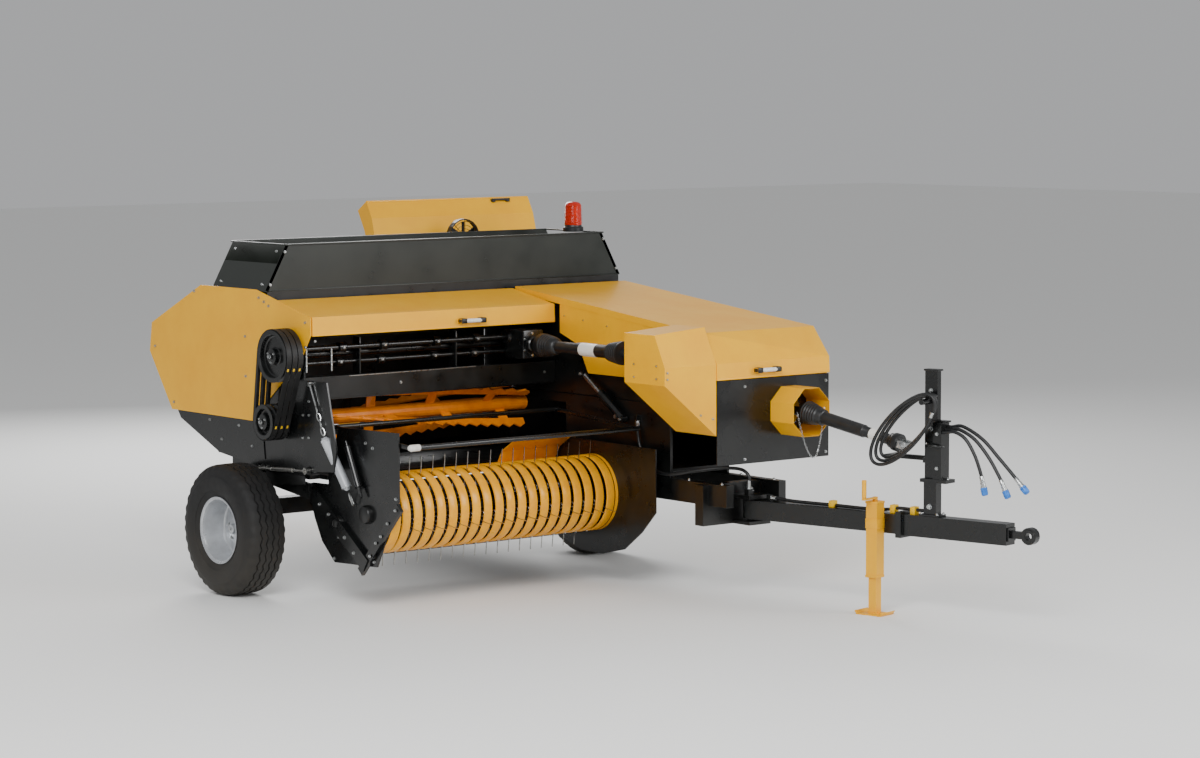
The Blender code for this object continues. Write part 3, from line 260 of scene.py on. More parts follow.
# Injection-moulded polypropylene of the shaft guards: satin, faint grain
MOULDED = Finish("moulded_black_polypropylene", "black_plastic", "#151617", "#1E1F20", 0.42, 0.06,
                 patch_mm=60, grain_mm=2.5, height_mm=0.08)
LENS = Finish("orange_lens_acrylic", "beacon_orange", "#D62A02", "#B81E00", 0.08, 0.03, clear=0.35, glow=0.05,
              grain_mm=20, height_mm=0.02)
BLUE = Finish("moulded_blue_cap", "blue_plastic", "#2E7BD6", "#2567B8", 0.38, patch_mm=20)
NYLON = Finish("white_nylon", "zinc_steel", "#E6E5DF", "#D2D0C8", 0.45, patch_mm=25)
LABEL = Finish("blank_printed_film", "yellow_paint", "#EDEBE4", "#E2DFD6", 0.35, patch_mm=60, height_mm=0.01)
MARK = Finish("yellow_marking_paint", "yellow_paint", "#F2C200", "#D9A900", 0.55, patch_mm=8)


# Shapes.  Each returns a new bmesh in the machine's frame.
def on_axis(axis: str, along: float, first: float, second: float) -> Vector:
    """Place a point given along one axis and, in X Y Z order, on the other two."""
    order = {"X": (along, first, second), "Y": (first, along, second), "Z": (first, second, along)}
    return Vector(order[axis])


def rounded(shape: bmesh.types.BMesh, width: float, limit: float = 25.0) -> bmesh.types.BMesh:
    """Bevel a shape's sharp edges.

    Args:
        shape: the mesh to change.
        width: how wide the bevel is, in metres.
        limit: the least angle of an edge that is rounded, in degrees.

    Returns:
        The same mesh.
    """
    if width:
        sharp = [edge for edge in shape.edges
                 if len(edge.link_faces) == 2 and edge.calc_face_angle(0) > math.radians(limit)]
        bmesh.ops.bevel(shape, geom=sharp, offset=width, segments=2, profile=0.5, affect="EDGES",
                        clamp_overlap=True, material=-1)
    return shape


def cuboid(low: Point, high: Point, width: float = 0.0) -> bmesh.types.BMesh:
    """Make a box between two corners, with rounded edges.

    Args:
        low: the corner with the smallest coordinates.
        high: the corner with the largest coordinates.
        width: how wide the rounded edges are.

    Returns:
        The box.
    """
    shape = bmesh.new()
    bmesh.ops.create_cube(shape, size=1.0)
    low, high = Vector(low), Vector(high)
    shape.transform(Matrix.Translation((low + high) / 2) @ Matrix.Diagonal((*(high - low), 1.0)))
    return rounded(shape, width)


def cylinder(start: Point, end: Point, radius: float, sides: int = 24, width: float = 0.0,
             end_radius: float | None = None) -> bmesh.types.BMesh:
    """A round bar or cone between two points.

    Args:
        start: the middle of its first end.
        end: the middle of its other end.
        radius: its radius at the first end.
        sides: how many sides it has.
        width: how far its ends' edges are rounded.
        end_radius: its radius at the other end, where that differs.

    Returns:
        The new mesh.
    """
    start, end = Vector(start), Vector(end)
    shape = bmesh.new()
    last = radius if end_radius is None else end_radius
    bmesh.ops.create_cone(shape, cap_ends=True, segments=sides, radius1=radius, radius2=last,
                          depth=(end - start).length)
    turn = (end - start).to_track_quat("Z", "Y").to_matrix().to_4x4()
    shape.transform(Matrix.Translation((start + end) / 2) @ turn)
    return rounded(shape, width, 50.0)


def lathe(profile: Sequence[Flat], axis: str, centre: Flat, steps: int = 64,
          closed: bool = False) -> bmesh.types.BMesh:
    """Spin a profile of (along, radius) points about an axis.

    Args:
        profile: the points, from axis to axis or round a closed section.
        axis: the axis's letter.
        centre: where the axis is on the other two, in X Y Z order.
        steps: how many steps a full turn has.
        closed: whether the last point joins the first.

    Returns:
        The new mesh, with its poles closed.
    """
    shape = bmesh.new()
    dots = [shape.verts.new(on_axis(axis, along, centre[0] + radius, centre[1])) for along, radius in profile]
    pairs = list(zip(dots, dots[1:])) + ([(dots[-1], dots[0])] if closed else [])
    lines = [shape.edges.new(pair) for pair in pairs]
    bmesh.ops.spin(shape, geom=dots + lines, cent=on_axis(axis, 0, *centre), axis=on_axis(axis, 1, 0, 0),
                   angle=2 * math.pi, steps=steps, use_merge=True, use_duplicate=False)
    bmesh.ops.remove_doubles(shape, verts=shape.verts, dist=1e-5)
    bmesh.ops.recalc_face_normals(shape, faces=shape.faces)
    return shape


def plate(outline: Sequence[Flat], axis: str, span: Flat, width: float = 0.0) -> bmesh.types.BMesh:
    """Make a flat plate: an outline across an axis, pushed along it.

    Args:
        outline: the plate's corners across the axis.
        axis: the axis that it is pushed along.
        span: where it starts and ends on that axis.
        width: how wide the rounded edges are.

    Returns:
        The plate.
    """
    shape = bmesh.new()
    face = shape.faces.new([shape.verts.new(on_axis(axis, span[0], *point)) for point in outline])
    pushed = bmesh.ops.extrude_face_region(shape, geom=[face])["geom"]
    moved = [item for item in pushed if isinstance(item, bmesh.types.BMVert)]
    bmesh.ops.translate(shape, verts=moved, vec=on_axis(axis, span[1] - span[0], 0, 0))
    bmesh.ops.recalc_face_normals(shape, faces=shape.faces)
    return rounded(shape, width)


def ring_plate(outer: Sequence[Flat], inner: Sequence[Flat], axis: str, span: Flat,
               width: float = 0.0) -> bmesh.types.BMesh:
    """Make a flat ring between two outlines, pushed along an axis.

    Args:
        outer: the outer outline.
        inner: the inner outline, with as many points.
        axis: the axis that it is pushed along.
        span: where it starts and ends on that axis.
        width: how wide the rounded edges are.

    Returns:
        The ring.
    """
    shape = bmesh.new()
    edges = []
    for outline in (outer, inner):
        dots = [shape.verts.new(on_axis(axis, span[0], *point)) for point in outline]
        edges += [shape.edges.new(pair) for pair in zip(dots, dots[1:] + dots[:1])]
    faces = bmesh.ops.bridge_loops(shape, edges=edges)["faces"]
    pushed = bmesh.ops.extrude_face_region(shape, geom=faces)["geom"]
    moved = [item for item in pushed if isinstance(item, bmesh.types.BMVert)]
    bmesh.ops.translate(shape, verts=moved, vec=on_axis(axis, span[1] - span[0], 0, 0))
    bmesh.ops.recalc_face_normals(shape, faces=shape.faces)
    return rounded(shape, width)


def tube_curve(name: str, points: Sequence[Point], radius: float, closed: bool = False,
               resolution: int = 2) -> bpy.types.Object:
    """A curve object of one open or closed line with a round section.

    Args:
        name: the object's name.
        points: the points that it passes.
        radius: the section's radius.
        closed: whether the line is a loop.
        resolution: how finely the section is rounded.

    Returns:
        The object, linked to the scene.
    """
    curve = bpy.data.curves.new(name, "CURVE")
    curve.dimensions = "3D"
    curve.bevel_depth = radius
    curve.bevel_resolution = resolution
    curve.use_fill_caps = True
    line = curve.splines.new("POLY")
    line.points.add(len(points) - 1)
    for knot, place in zip(line.points, points):
        knot.co = (*place, 1.0)
    line.use_cyclic_u = closed
    line.use_smooth = True
    item = bpy.data.objects.new(name, curve)
    bpy.context.scene.collection.objects.link(item)
    return item


def wire(points: Sequence[Point], radius: float, closed: bool = False,
         resolution: int = 1) -> bmesh.types.BMesh:
    """Run round wire along points, as a mesh.

    Args:
        points: the points that it passes through.
        radius: the wire's radius.
        closed: whether the end joins the start.
        resolution: how finely the wire is rounded.

    Returns:
        The wire.
    """
    item = tube_curve("wire", points, radius, closed, resolution)
    seen = item.evaluated_get(bpy.context.evaluated_depsgraph_get())
    shape = bmesh.new()
    shape.from_mesh(seen.to_mesh())
    seen.to_mesh_clear()
    data = item.data
    bpy.data.objects.remove(item)
    bpy.data.curves.remove(data)
    bmesh.ops.remove_doubles(shape, verts=shape.verts, dist=1e-6)
    bmesh.ops.recalc_face_normals(shape, faces=shape.faces)
    return shape


def bolt(place: Point, outward: Point, size: float = 0.012) -> bmesh.types.BMesh:
    """A hexagon head on its washer, with the bolt's end just proud of it.

    Args:
        place: where it sits on the surface.
        outward: the direction that it points to.
        size: the thread's diameter.

    Returns:
        The new mesh.
    """
    shape = bmesh.new()
    for radius, low, high, sides in ((1.0, 0.0, 0.18, 16), (0.85, 0.17, 0.80, 6), (0.45, 0.79, 1.05, 10)):
        made = bmesh.ops.create_cone(shape, cap_ends=True, segments=sides, radius1=radius * size,
                                     radius2=radius * size * 0.95, depth=(high - low) * size)
        bmesh.ops.translate(shape, verts=made["verts"], vec=(0, 0, (low + high) / 2 * size))
    turn = Vector(outward).to_track_quat("Z", "Y").to_matrix().to_4x4()
    shape.transform(Matrix.Translation(place) @ turn)
    return shape


def helix(start: Point, end: Point, radius: float, turns: float, per_turn: int = 12) -> list[Vector]:
    """Points of a coil spring between two points.

    Args:
        start: the middle of its first turn.
        end: the middle of its last turn.
        radius: the coil's radius to the wire's middle.
        turns: how many turns it has.
        per_turn: points in each turn.

    Returns:
        The points in order.
    """
    start, end = Vector(start), Vector(end)
    turn = (end - start).to_track_quat("Z", "Y").to_matrix()
    points = []
    for step in range(int(turns * per_turn) + 1):
        angle = 2 * math.pi * step / per_turn
        across = Vector((math.cos(angle), math.sin(angle), 0)) * radius
        points.append(start.lerp(end, step / (turns * per_turn)) + turn @ across)
    return points


def arc(centre: Flat, radius: float, first: float, last: float, steps: int) -> list[Flat]:
    """Points on an arc between two angles in degrees."""
    angles = [math.radians(first + (last - first) * step / steps) for step in range(steps + 1)]
    return [(centre[0] + radius * math.cos(angle), centre[1] + radius * math.sin(angle)) for angle in angles]


def smooth(points: Sequence[Point], spacing: float) -> list[Vector]:
    """Space points evenly along a smooth curve.

    Args:
        points: the points that the curve passes through.
        spacing: the distance between the points given back.

    Returns:
        The evenly spaced points.
    """
    knots = [Vector(point) for point in points]
    ends = [knots[0] * 2 - knots[1]] + knots + [knots[-1] * 2 - knots[-2]]
    fine = []
    for before, start, end, after in zip(ends, ends[1:], ends[2:], ends[3:]):
        for step in range(20):
            share = step / 20
            fine.append(0.5 * (2 * start + (end - before) * share
                               + (2 * before - 5 * start + 4 * end - after) * share ** 2
                               + (3 * start - before - 3 * end + after) * share ** 3))
    fine.append(knots[-1])
    length = sum((end - start).length for start, end in zip(fine, fine[1:]))
    count = max(2, round(length / spacing))
    result, travelled = [fine[0]], 0.0
    for start, end in zip(fine, fine[1:]):
        piece = (end - start).length
        while len(result) < count and travelled + piece >= length * len(result) / count:
            share = (length * len(result) / count - travelled) / piece
            result.append(start.lerp(end, share))
        travelled += piece
    return result + [fine[-1]]


class Piece:
    """A visible piece being made: shapes are joined into one mesh, then placed on a body."""

    def __init__(self) -> None:
        """Start with an empty mesh."""
        self.mesh = bmesh.new()

    def join(self, *shapes: bmesh.types.BMesh) -> Piece:
        """Add shapes to the piece and use them up.

        Args:
            shapes: the shapes to add.

        Returns:
            The piece itself.
        """
        for shape in shapes:
            held = bpy.data.meshes.new("held")
            shape.to_mesh(held)
            shape.free()
            self.mesh.from_mesh(held)
            bpy.data.meshes.remove(held)
        return self

    def repeat(self, shape: bmesh.types.BMesh, places: Iterable[Matrix]) -> Piece:
        """Add a copy of a shape at each place and use the shape up.

        Args:
            shape: the shape to copy.
            places: the movement of each copy.

        Returns:
            The piece itself.
        """
        held = bpy.data.meshes.new("held")
        shape.to_mesh(held)
        shape.free()
        for place in places:
            count = len(self.mesh.verts)
            self.mesh.from_mesh(held)
            self.mesh.verts.ensure_lookup_table()
            bmesh.ops.transform(self.mesh, matrix=place, verts=self.mesh.verts[count:])
        bpy.data.meshes.remove(held)
        return self

    def bolts(self, places: Iterable[Point], outward: Point, size: float = 0.012) -> Piece:
        """Add a bolt at each place, all pointing the same way."""
        self.repeat(bolt((0, 0, 0), outward, size), [Matrix.Translation(place) for place in places])
        return self

    def place(self, name: str, finish: Finish, body: str | None, stands_for: Sequence[str] = (),
              sharp: float = 35.0) -> bpy.types.Object:
        """body: the body that it moves with, or None for a piece that is left without a body.

        Args:
            name: the piece's name.
            finish: its material.
            body: the body that it moves with, or None for a piece that is blended later.
            stands_for: CAD nodes that it is shown in place of.
            sharp: edges over this angle stay sharp, in degrees.

        Returns:
            The object.
        """
        data = bpy.data.meshes.new(name)
        self.mesh.to_mesh(data)
        self.mesh.free()
        data.materials.append(finish.material())
        data.shade_smooth()
        data.set_sharp_from_angle(angle=math.radians(sharp))
        item = bpy.data.objects.new(name, data)
        bpy.context.scene.collection.objects.link(item)
        if body:
            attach(item, body)
        if stands_for:
            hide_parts(*stands_for)
        LOG.info("%s rides on %s", name, body or "two bodies")
        return item


def dress(nodes: dict[str, bpy.types.Object], names: Iterable[str], finish: Finish, width: float = 0.0015) -> None:
    """Give CAD nodes a finish and soften their edges.

    Args:
        nodes: the frame's nodes by name.
        names: the ones to dress.
        finish: their material.
        width: how wide their edges are rounded, in metres.
    """
    for name in names:
        item = nodes[name]
        item.data.materials.clear()
        item.data.materials.append(finish.material())
        weld = item.modifiers.new("weld", "WELD")
        weld.merge_threshold = 0.00005
        if width:
            edge = item.modifiers.new("edges", "BEVEL")
            edge.width = width
            edge.segments = 2
            edge.limit_method = "ANGLE"
            edge.angle_limit = math.radians(28)
            edge.harden_normals = False
        LOG.info("%s dressed in %s", name, finish.name)


# Sub-assemblies
DRAWBAR_PIVOT: Flat = (1.00, -1.20)
DRAWBAR_ANGLE = math.radians(12)
DRAWBAR_TURN = Matrix.Translation((*DRAWBAR_PIVOT, 0)) @ Matrix.Rotation(DRAWBAR_ANGLE, 4, "Z")


def on_drawbar(reach: float, aside: float, height: float) -> Vector:
    """A point on the drawbar: along it from its pivot, to its left side, and up."""
    return DRAWBAR_TURN @ Vector((aside, -reach, height))


def turned_to_drawbar(shape: bmesh.types.BMesh) -> bmesh.types.BMesh:
    """Move a shape from the drawbar's own directions to its place."""
    shape.transform(DRAWBAR_TURN)
    return shape


@dataclass
class Hoses:
    """The rubber hoses with their couplers and clamps."""

    radius: float = 0.011
    coil_radius: float = 0.0105
    spacing: float = 0.012
    lift: tuple[Point, ...] = (
        (0.690, -0.44, 1.090), (0.690, -0.44, 1.04), (0.686, -0.475, 0.92), (0.684, -0.56, 0.815),
        (0.688, -0.69, 0.768), (0.71, -0.82, 0.775), (0.77, -0.96, 0.805), (0.86, -1.09, 0.825),
        (0.918, -1.20, 0.822), (0.935, -1.255, 0.785), (0.935, -1.255, 0.74), (0.935, -1.255, 0.701))
    drawbar: tuple[Point, ...] = (
        (0.166, 0.0, 0.648), (0.21, 0.0, 0.648), (0.34, -0.004, 0.640), (0.62, 0.006, 0.638),
        (0.90, -0.004, 0.638), (1.05, 0.0, 0.645), (1.12, 0.0, 0.658), (1.20, 0.0, 0.659),
        (1.28, 0.0, 0.658), (1.334, 0.0, 0.658))
    tails: tuple[tuple[Point, ...], ...] = (
        ((1.473, -0.028, 1.15), (1.50, -0.028, 1.152), (1.56, -0.029, 1.158), (1.636, -0.03, 1.12),
         (1.70, -0.03, 1.03), (1.742, -0.03, 0.93), (1.757, -0.03, 0.875)),
        ((1.473, 0.0, 1.165), (1.50, 0.0, 1.167), (1.57, 0.0, 1.172), (1.68, 0.0, 1.12),
         (1.779, 0.0, 1.02), (1.855, 0.0, 0.91), (1.882, 0.0, 0.86)),
        ((1.473, 0.028, 1.18), (1.50, 0.028, 1.182), (1.58, 0.029, 1.188), (1.718, 0.03, 1.12),
         (1.84, 0.03, 1.01), (1.935, 0.03, 0.92), (1.975, 0.03, 0.88)))
    coil_centre: Point = (1.235, -0.084, 1.17)
    coil_size: Flat = (0.284, 0.108)
    coil_slope: float = math.radians(44)
    coil_turns: float = 2.9

    def hose(self, name: str, route: Sequence[Vector], radius: float, body: str, node: str) -> bpy.types.Object:
        """Make one hose as a curve that stands for its CAD node.

        Args:
            name: the piece's name.
            route: the points that it follows.
            radius: its radius.
            body: the body that it rides on.
            node: the CAD node that it is shown for.

        Returns:
            The curve object.
        """
        item = tube_curve(name, route, radius, resolution=3)
        item.data.materials.append(HOSE_RUBBER.material())
        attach(item, body)
        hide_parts(node)
        LOG.info("%s rides on %s", name, body)
        return item

    def coupler(self, number: int, end: Vector, along: Vector) -> list[bpy.types.Object]:
        """Put a coupler with its dust cap on a tail's end.

        Args:
            number: the tail's number.
            end: where the hose ends.
            along: the direction that it ends in.

        Returns:
            The coupler's two pieces.
        """
        turn = Matrix.Translation(end) @ along.to_track_quat("Z", "Y").to_matrix().to_4x4()
        ferrule = [(-0.03, 0.0), (-0.03, 0.0125), (-0.028, 0.0135), (0.0, 0.0135), (0.002, 0.0115), (0.006, 0.0115),
                   (0.007, 0.015), (0.024, 0.015), (0.025, 0.0125), (0.029, 0.0125), (0.03, 0.0175),
                   (0.041, 0.0175), (0.041, 0.0)]
        cap = [(0.0405, 0.0), (0.0405, 0.0195), (0.043, 0.0215), (0.052, 0.0215), (0.053, 0.019), (0.056, 0.019),
               (0.057, 0.021), (0.080, 0.0205), (0.087, 0.018), (0.090, 0.013), (0.090, 0.0)]
        body, blue = lathe(ferrule, "Z", (0, 0), 24), lathe(cap, "Z", (0, 0), 28)
        lug = wire([turn @ Vector((0.019 + 0.014 * math.sin(step * math.pi / 8), 0,
                                   0.060 + 0.013 * math.cos(step * math.pi / 8)))
                    for step in range(9)], 0.003)
        body.transform(turn)
        blue.transform(turn)
        return [Piece().join(body).place(f"tail_{number}_coupler", ZINC, "drawbar"),
                Piece().join(blue, lug).place(f"tail_{number}_dust_cap", BLUE, "drawbar", [f"coupler_{number}"])]

    def build(self) -> None:
        """Make every hose."""
        route = smooth(self.lift, self.spacing)
        line = self.hose("pickup_lift_line", route, self.radius, "chassis", "lift_hose")
        route = smooth([on_drawbar(*point) for point in self.drawbar], self.spacing)
        line = self.hose("drawbar_line", route, self.radius, "drawbar", "drawbar_hose")
        for number, points in enumerate(self.tails, 1):
            route = smooth([on_drawbar(*point) for point in points], self.spacing)
            line = self.hose(f"tail_{number}_line", route, self.radius, "drawbar", f"tail_hose_{number}")
            ends = self.coupler(number, route[-1], route[-1] - route[-2])
        self.coil()
        self.clamps()

    def coil(self) -> None:
        """Wind the spare hose's turns side by side and close its end with a plug."""
        forward, up = math.cos(self.coil_slope), math.sin(self.coil_slope)
        reach, aside, height = self.coil_centre
        route, steps = [], 56
        for step in range(int(self.coil_turns * steps) + 1):
            angle = 2 * math.pi * step / steps
            grown = step / steps - self.coil_turns / 2
            along = (self.coil_size[0] + 0.014 * grown) * math.cos(angle) - 0.014 * grown
            short = (self.coil_size[1] + 0.013 * grown) * math.sin(angle)
            shift = -0.0215 * grown
            route.append(on_drawbar(reach + forward * along - up * short, aside + shift,
                                    height + up * along + forward * short))
        line = self.hose("spare_line_coil", route, self.coil_radius, "drawbar", "hose_coil")
        end, along = route[-1], (route[-1] - route[-2]).normalized()
        plug = Piece().join(cylinder(end - along * 0.02, end + along * 0.014, 0.0125, 16, 0.0015))
        plug = plug.place("spare_line_plug", ZINC, "drawbar")

    def clamps(self) -> None:
        """Clamp the drawbar's hose with yellow blocks and the lift hose's ends with unions."""
        piece = Piece()
        for reach in (0.64, 1.10, 1.25):
            top = 0.668 if reach < 1 else 0.678
            piece.join(turned_to_drawbar(cuboid((-0.024, -reach - 0.018, 0.6253), (0.024, -reach + 0.018, top), 0.003)))
        piece.place("hose_clamp_blocks", MARK, "drawbar")
        unions = Piece()
        for end, step in ((self.lift[0], -1), (self.lift[-1], 1)):
            low = Vector(end)
            unions.join(cylinder(low, low + Vector((0, 0, 0.03 * step)), 0.0145, 6, 0.001),
                        cylinder(low + Vector((0, 0, 0.029 * step)), low + Vector((0, 0, 0.055 * step)), 0.0125, 20))
        unions.place("lift_line_unions", ZINC, "chassis")
        start = on_drawbar(*self.drawbar[0])
        later = on_drawbar(0.20, 0, 0.648)
        Piece().join(cylinder(start, later, 0.014, 6, 0.001)).place("drawbar_line_union", ZINC, "drawbar")


@dataclass
class Wheel:
    """A wheel: tyre with zigzag ribs, deep-dished rim, nuts and valve."""

    name: str
    side: int
    radius: float = 0.4225
    middle: float = 1.475
    centre: Flat = (1.0, 0.4225)
    steps: int = 144
    grooves: tuple[float, ...] = (-0.066, -0.022, 0.022, 0.066)
    groove_depth: float = 0.011
    zigzag: float = 0.007

    def tyre_profile(self) -> list[Flat]:
        """Draw the tyre's section from one bead over the tread to the other.

        Returns:
            The section's (across, radius) points.
        """
        tread = [(-0.128, 0.398), (-0.119, 0.4085), (-0.104, self.radius - 0.006)]
        for groove in self.grooves:
            crown = self.radius - 0.35 * groove ** 2
            tread += [(groove - 0.006, crown), (groove - 0.0035, crown - self.groove_depth),
                      (groove + 0.0035, crown - self.groove_depth), (groove + 0.006, crown)]
        tread += [(-across, radius) for across, radius in tread[2::-1]]
        side = [(-0.112, 0.1975), (-0.1165, 0.214), (-0.121, 0.232), (-0.131, 0.252), (-0.1335, 0.256),
                (-0.137, 0.257), (-0.143, 0.285), (-0.145, 0.315), (-0.1445, 0.343), (-0.1425, 0.349),
                (-0.140, 0.352), (-0.136, 0.376)]
        return side + tread + [(-across, radius) for across, radius in reversed(side)]

    def tyre(self) -> None:
        """Spin the tyre, then shift its ribs to zigzags and notch its shoulders."""
        profile = [(self.side * self.middle + across, radius) for across, radius in self.tyre_profile()]
        shape = lathe(profile, "X", self.centre, self.steps, closed=True)
        for dot in shape.verts:
            first, second = dot.co.y - self.centre[0], dot.co.z - self.centre[1]
            across = dot.co.x - self.side * self.middle
            radius = math.hypot(first, second)
            step = round(math.atan2(second, first) / (2 * math.pi) * self.steps) % 4
            if radius > 0.40 and abs(across) < 0.09:
                dot.co.x += self.zigzag * (0, 1, 0, -1)[step]
            elif radius > 0.39 and abs(across) > 0.11 and step in (0, 1):
                scale = 1 - 0.008 / radius
                dot.co.y, dot.co.z = self.centre[0] + first * scale, self.centre[1] + second * scale
        node = f"{self.name}_wheel"
        Piece().join(shape).place(f"{self.name}_treaded_tyre", TYRE, node, [f"{self.name}_tyre"], sharp=40)

    def rim(self) -> None:
        """Spin the rim with its hub and add nuts and the valve."""
        inward = [(-0.030, 0.0), (-0.030, 0.026), (-0.027, 0.031), (-0.004, 0.034), (-0.002, 0.040), (-0.001, 0.058),
                  (0.002, 0.061), (0.014, 0.062), (0.018, 0.070), (0.018, 0.098), (0.022, 0.112), (0.036, 0.140),
                  (0.040, 0.160), (0.040, 0.176), (0.034, 0.184), (0.020, 0.186), (-0.040, 0.186), (-0.060, 0.1885),
                  (-0.090, 0.1935), (-0.108, 0.196), (-0.1145, 0.199), (-0.118, 0.206), (-0.1215, 0.211),
                  (-0.1245, 0.2115), (-0.1255, 0.214), (-0.1235, 0.2165), (-0.119, 0.2155), (-0.1165, 0.2135),
                  (-0.1155, 0.1985), (0.1155, 0.1985), (0.1165, 0.2135), (0.1235, 0.2165), (0.1255, 0.213),
                  (0.1235, 0.205), (0.115, 0.196), (0.10, 0.1935), (0.06, 0.186), (0.052, 0.180), (0.050, 0.160),
                  (0.046, 0.140), (0.032, 0.112), (0.028, 0.098), (0.028, 0.068), (0.034, 0.062), (0.098, 0.060),
                  (0.10, 0.058), (0.10, 0.033), (-0.01, 0.033), (-0.01, 0.0)]
        out = -self.side
        profile = [(self.side * self.middle + out * along, radius) for along, radius in inward]
        body = f"{self.name}_wheel"
        Piece().join(lathe(profile, "X", self.centre, 72)).place(
            f"{self.name}_dished_rim", SILVER, body, [f"{self.name}_rim"], sharp=30)
        nuts = Piece()
        places = []
        for number in range(6):
            y, z = arc(self.centre, 0.084, 60 * number + 12, 0, 1)[0]
            places.append((self.side * self.middle + out * 0.018, y, z))
        nuts.bolts(places, (self.side, 0, 0), 0.016)
        nuts.bolts([(self.side * self.middle - out * 0.0295, *self.centre)], (self.side, 0, 0), 0.012)
        y, z = arc(self.centre, 0.172, 200, 0, 1)[0]
        start = Vector((self.side * self.middle + out * 0.045, y, z))
        nuts.join(cylinder(start, start + Vector((self.side * 0.045, 0, 0)), 0.005, 12, 0.001))
        nuts.place(f"{self.name}_wheel_nuts", ZINC, body)


@dataclass
class BeltDrive:
    """The grooved pulleys and the belts that turn the feeder."""

    upper: Flat = (0.55, 1.56)
    lower: Flat = (0.66, 1.137)
    upper_radius: float = 0.165
    lower_radius: float = 0.1125
    near: float = -1.47
    far: float = -1.34
    strands: int = 3

    def pulley(self, name: str, centre: Flat, radius: float, end: float, body: str, node: str) -> None:
        """Spin one pulley with its hub, dished web and grooves, and bolt its hub on.

        Args:
            name: the piece's name.
            centre: the pulley's axis as (y, z).
            radius: the pulley's outer radius.
            end: where its shaft ends.
            body: the body that it rides on.
            node: the CAD node that it stands for.
        """
        near, pitch = self.near, (self.far - self.near) / self.strands
        profile = [(near - 0.015, 0.0), (near - 0.015, 0.018), (near - 0.013, 0.021), (near - 0.006, 0.022),
                   (near - 0.004, 0.046), (near - 0.001, 0.050), (near + 0.028, 0.052), (near + 0.033, 0.058),
                   (near + 0.034, radius - 0.043), (near + 0.030, radius - 0.036), (near + 0.004, radius - 0.030),
                   (near, radius - 0.026), (near, radius - 0.002), (near + 0.002, radius)]
        for groove in range(self.strands):
            start = near + pitch * groove
            profile += [(start + 0.006, radius), (start + pitch / 2 - 0.006, radius - 0.014),
                        (start + pitch / 2 + 0.006, radius - 0.014), (start + pitch - 0.006, radius)]
        profile += [(self.far - 0.001, radius), (self.far, radius - 0.002), (self.far, 0.026), (end, 0.025), (end, 0.0)]
        Piece().join(lathe(profile, "X", centre, 72)).place(name, BLACK, body, [node], sharp=28)
        heads = [(near - 0.004, *arc(centre, 0.036, 30 + 120 * number, 0, 1)[0]) for number in range(3)]
        piece = Piece().bolts(heads, (-1, 0, 0), 0.008)
        piece.bolts([(near - 0.0145, *centre)], (-1, 0, 0), 0.014)
        piece.place(f"{name}_bolts", ZINC, body)

    def loop(self, offset: float) -> list[Flat]:
        """Draw the belts' closed outline round both pulleys.

        Args:
            offset: its distance from the pulleys' rims.

        Returns:
            The outline's (y, z) points.
        """
        big, small = Vector(self.upper), Vector(self.lower)
        across = big - small
        base = math.atan2(across.y, across.x)
        top, low = self.upper_radius + offset, self.lower_radius + offset
        lean = math.acos((low - top) / across.length)
        upper = arc(self.upper, top, math.degrees(base - lean), math.degrees(base + lean), 40)
        return upper + arc(self.lower, low, math.degrees(base + lean), math.degrees(base - lean + 2 * math.pi), 32)

    def belts(self) -> None:
        """Lay the wedge-shaped strands, with the marks on their backs."""
        pitch = (self.far - self.near) / self.strands
        back, foot = self.loop(0.008), self.loop(-0.005)
        piece = Piece()
        for groove in range(self.strands):
            middle = self.near + pitch * (groove + 0.5)
            shape = bmesh.new()
            rings = []
            for outer, inner in zip(back, foot):
                rings.append([shape.verts.new((middle + across, *place)) for across, place in
                              ((-0.0185, outer), (0.0185, outer), (0.0105, inner), (-0.0105, inner))])
            for low, high in zip(rings, rings[1:] + rings[:1]):
                for corner in range(4):
                    after = (corner + 1) % 4
                    shape.faces.new((low[corner], low[after], high[after], high[corner]))
            bmesh.ops.recalc_face_normals(shape, faces=shape.faces)
            piece.join(shape)
        piece.place("wedge_belts", BELT_RUBBER, "chassis", ["drive_belt"])
        marks = Piece()
        for start, end in zip(back, back[1:] + back[:1]):
            run = (Vector(end) - Vector(start)).length
            if run < 0.05:
                continue
            for share in (0.04, 0.96):
                y, z = Vector(start).lerp(Vector(end), share)
                for groove in range(self.strands):
                    middle = self.near + pitch * (groove + 0.5)
                    tilt = math.atan2(end[1] - start[1], end[0] - start[0])
                    shape = cuboid((-0.006, -0.009, -0.0004), (0.006, 0.009, 0.0004))
                    shape.transform(Matrix.Translation((middle, y, z)) @ Matrix.Rotation(tilt, 4, "X"))
                    marks.join(shape)
        marks.place("belt_marks", MARK, "chassis")

    def build(self) -> None:
        """Make both pulleys and the belts."""
        self.pulley("upper_belt_wheel", self.upper, self.upper_radius, 0.40, "upper_pulley", "upper_pulley")
        self.pulley("lower_belt_wheel", self.lower, self.lower_radius, -1.28, "feeder_rotor", "lower_pulley")
        self.belts()


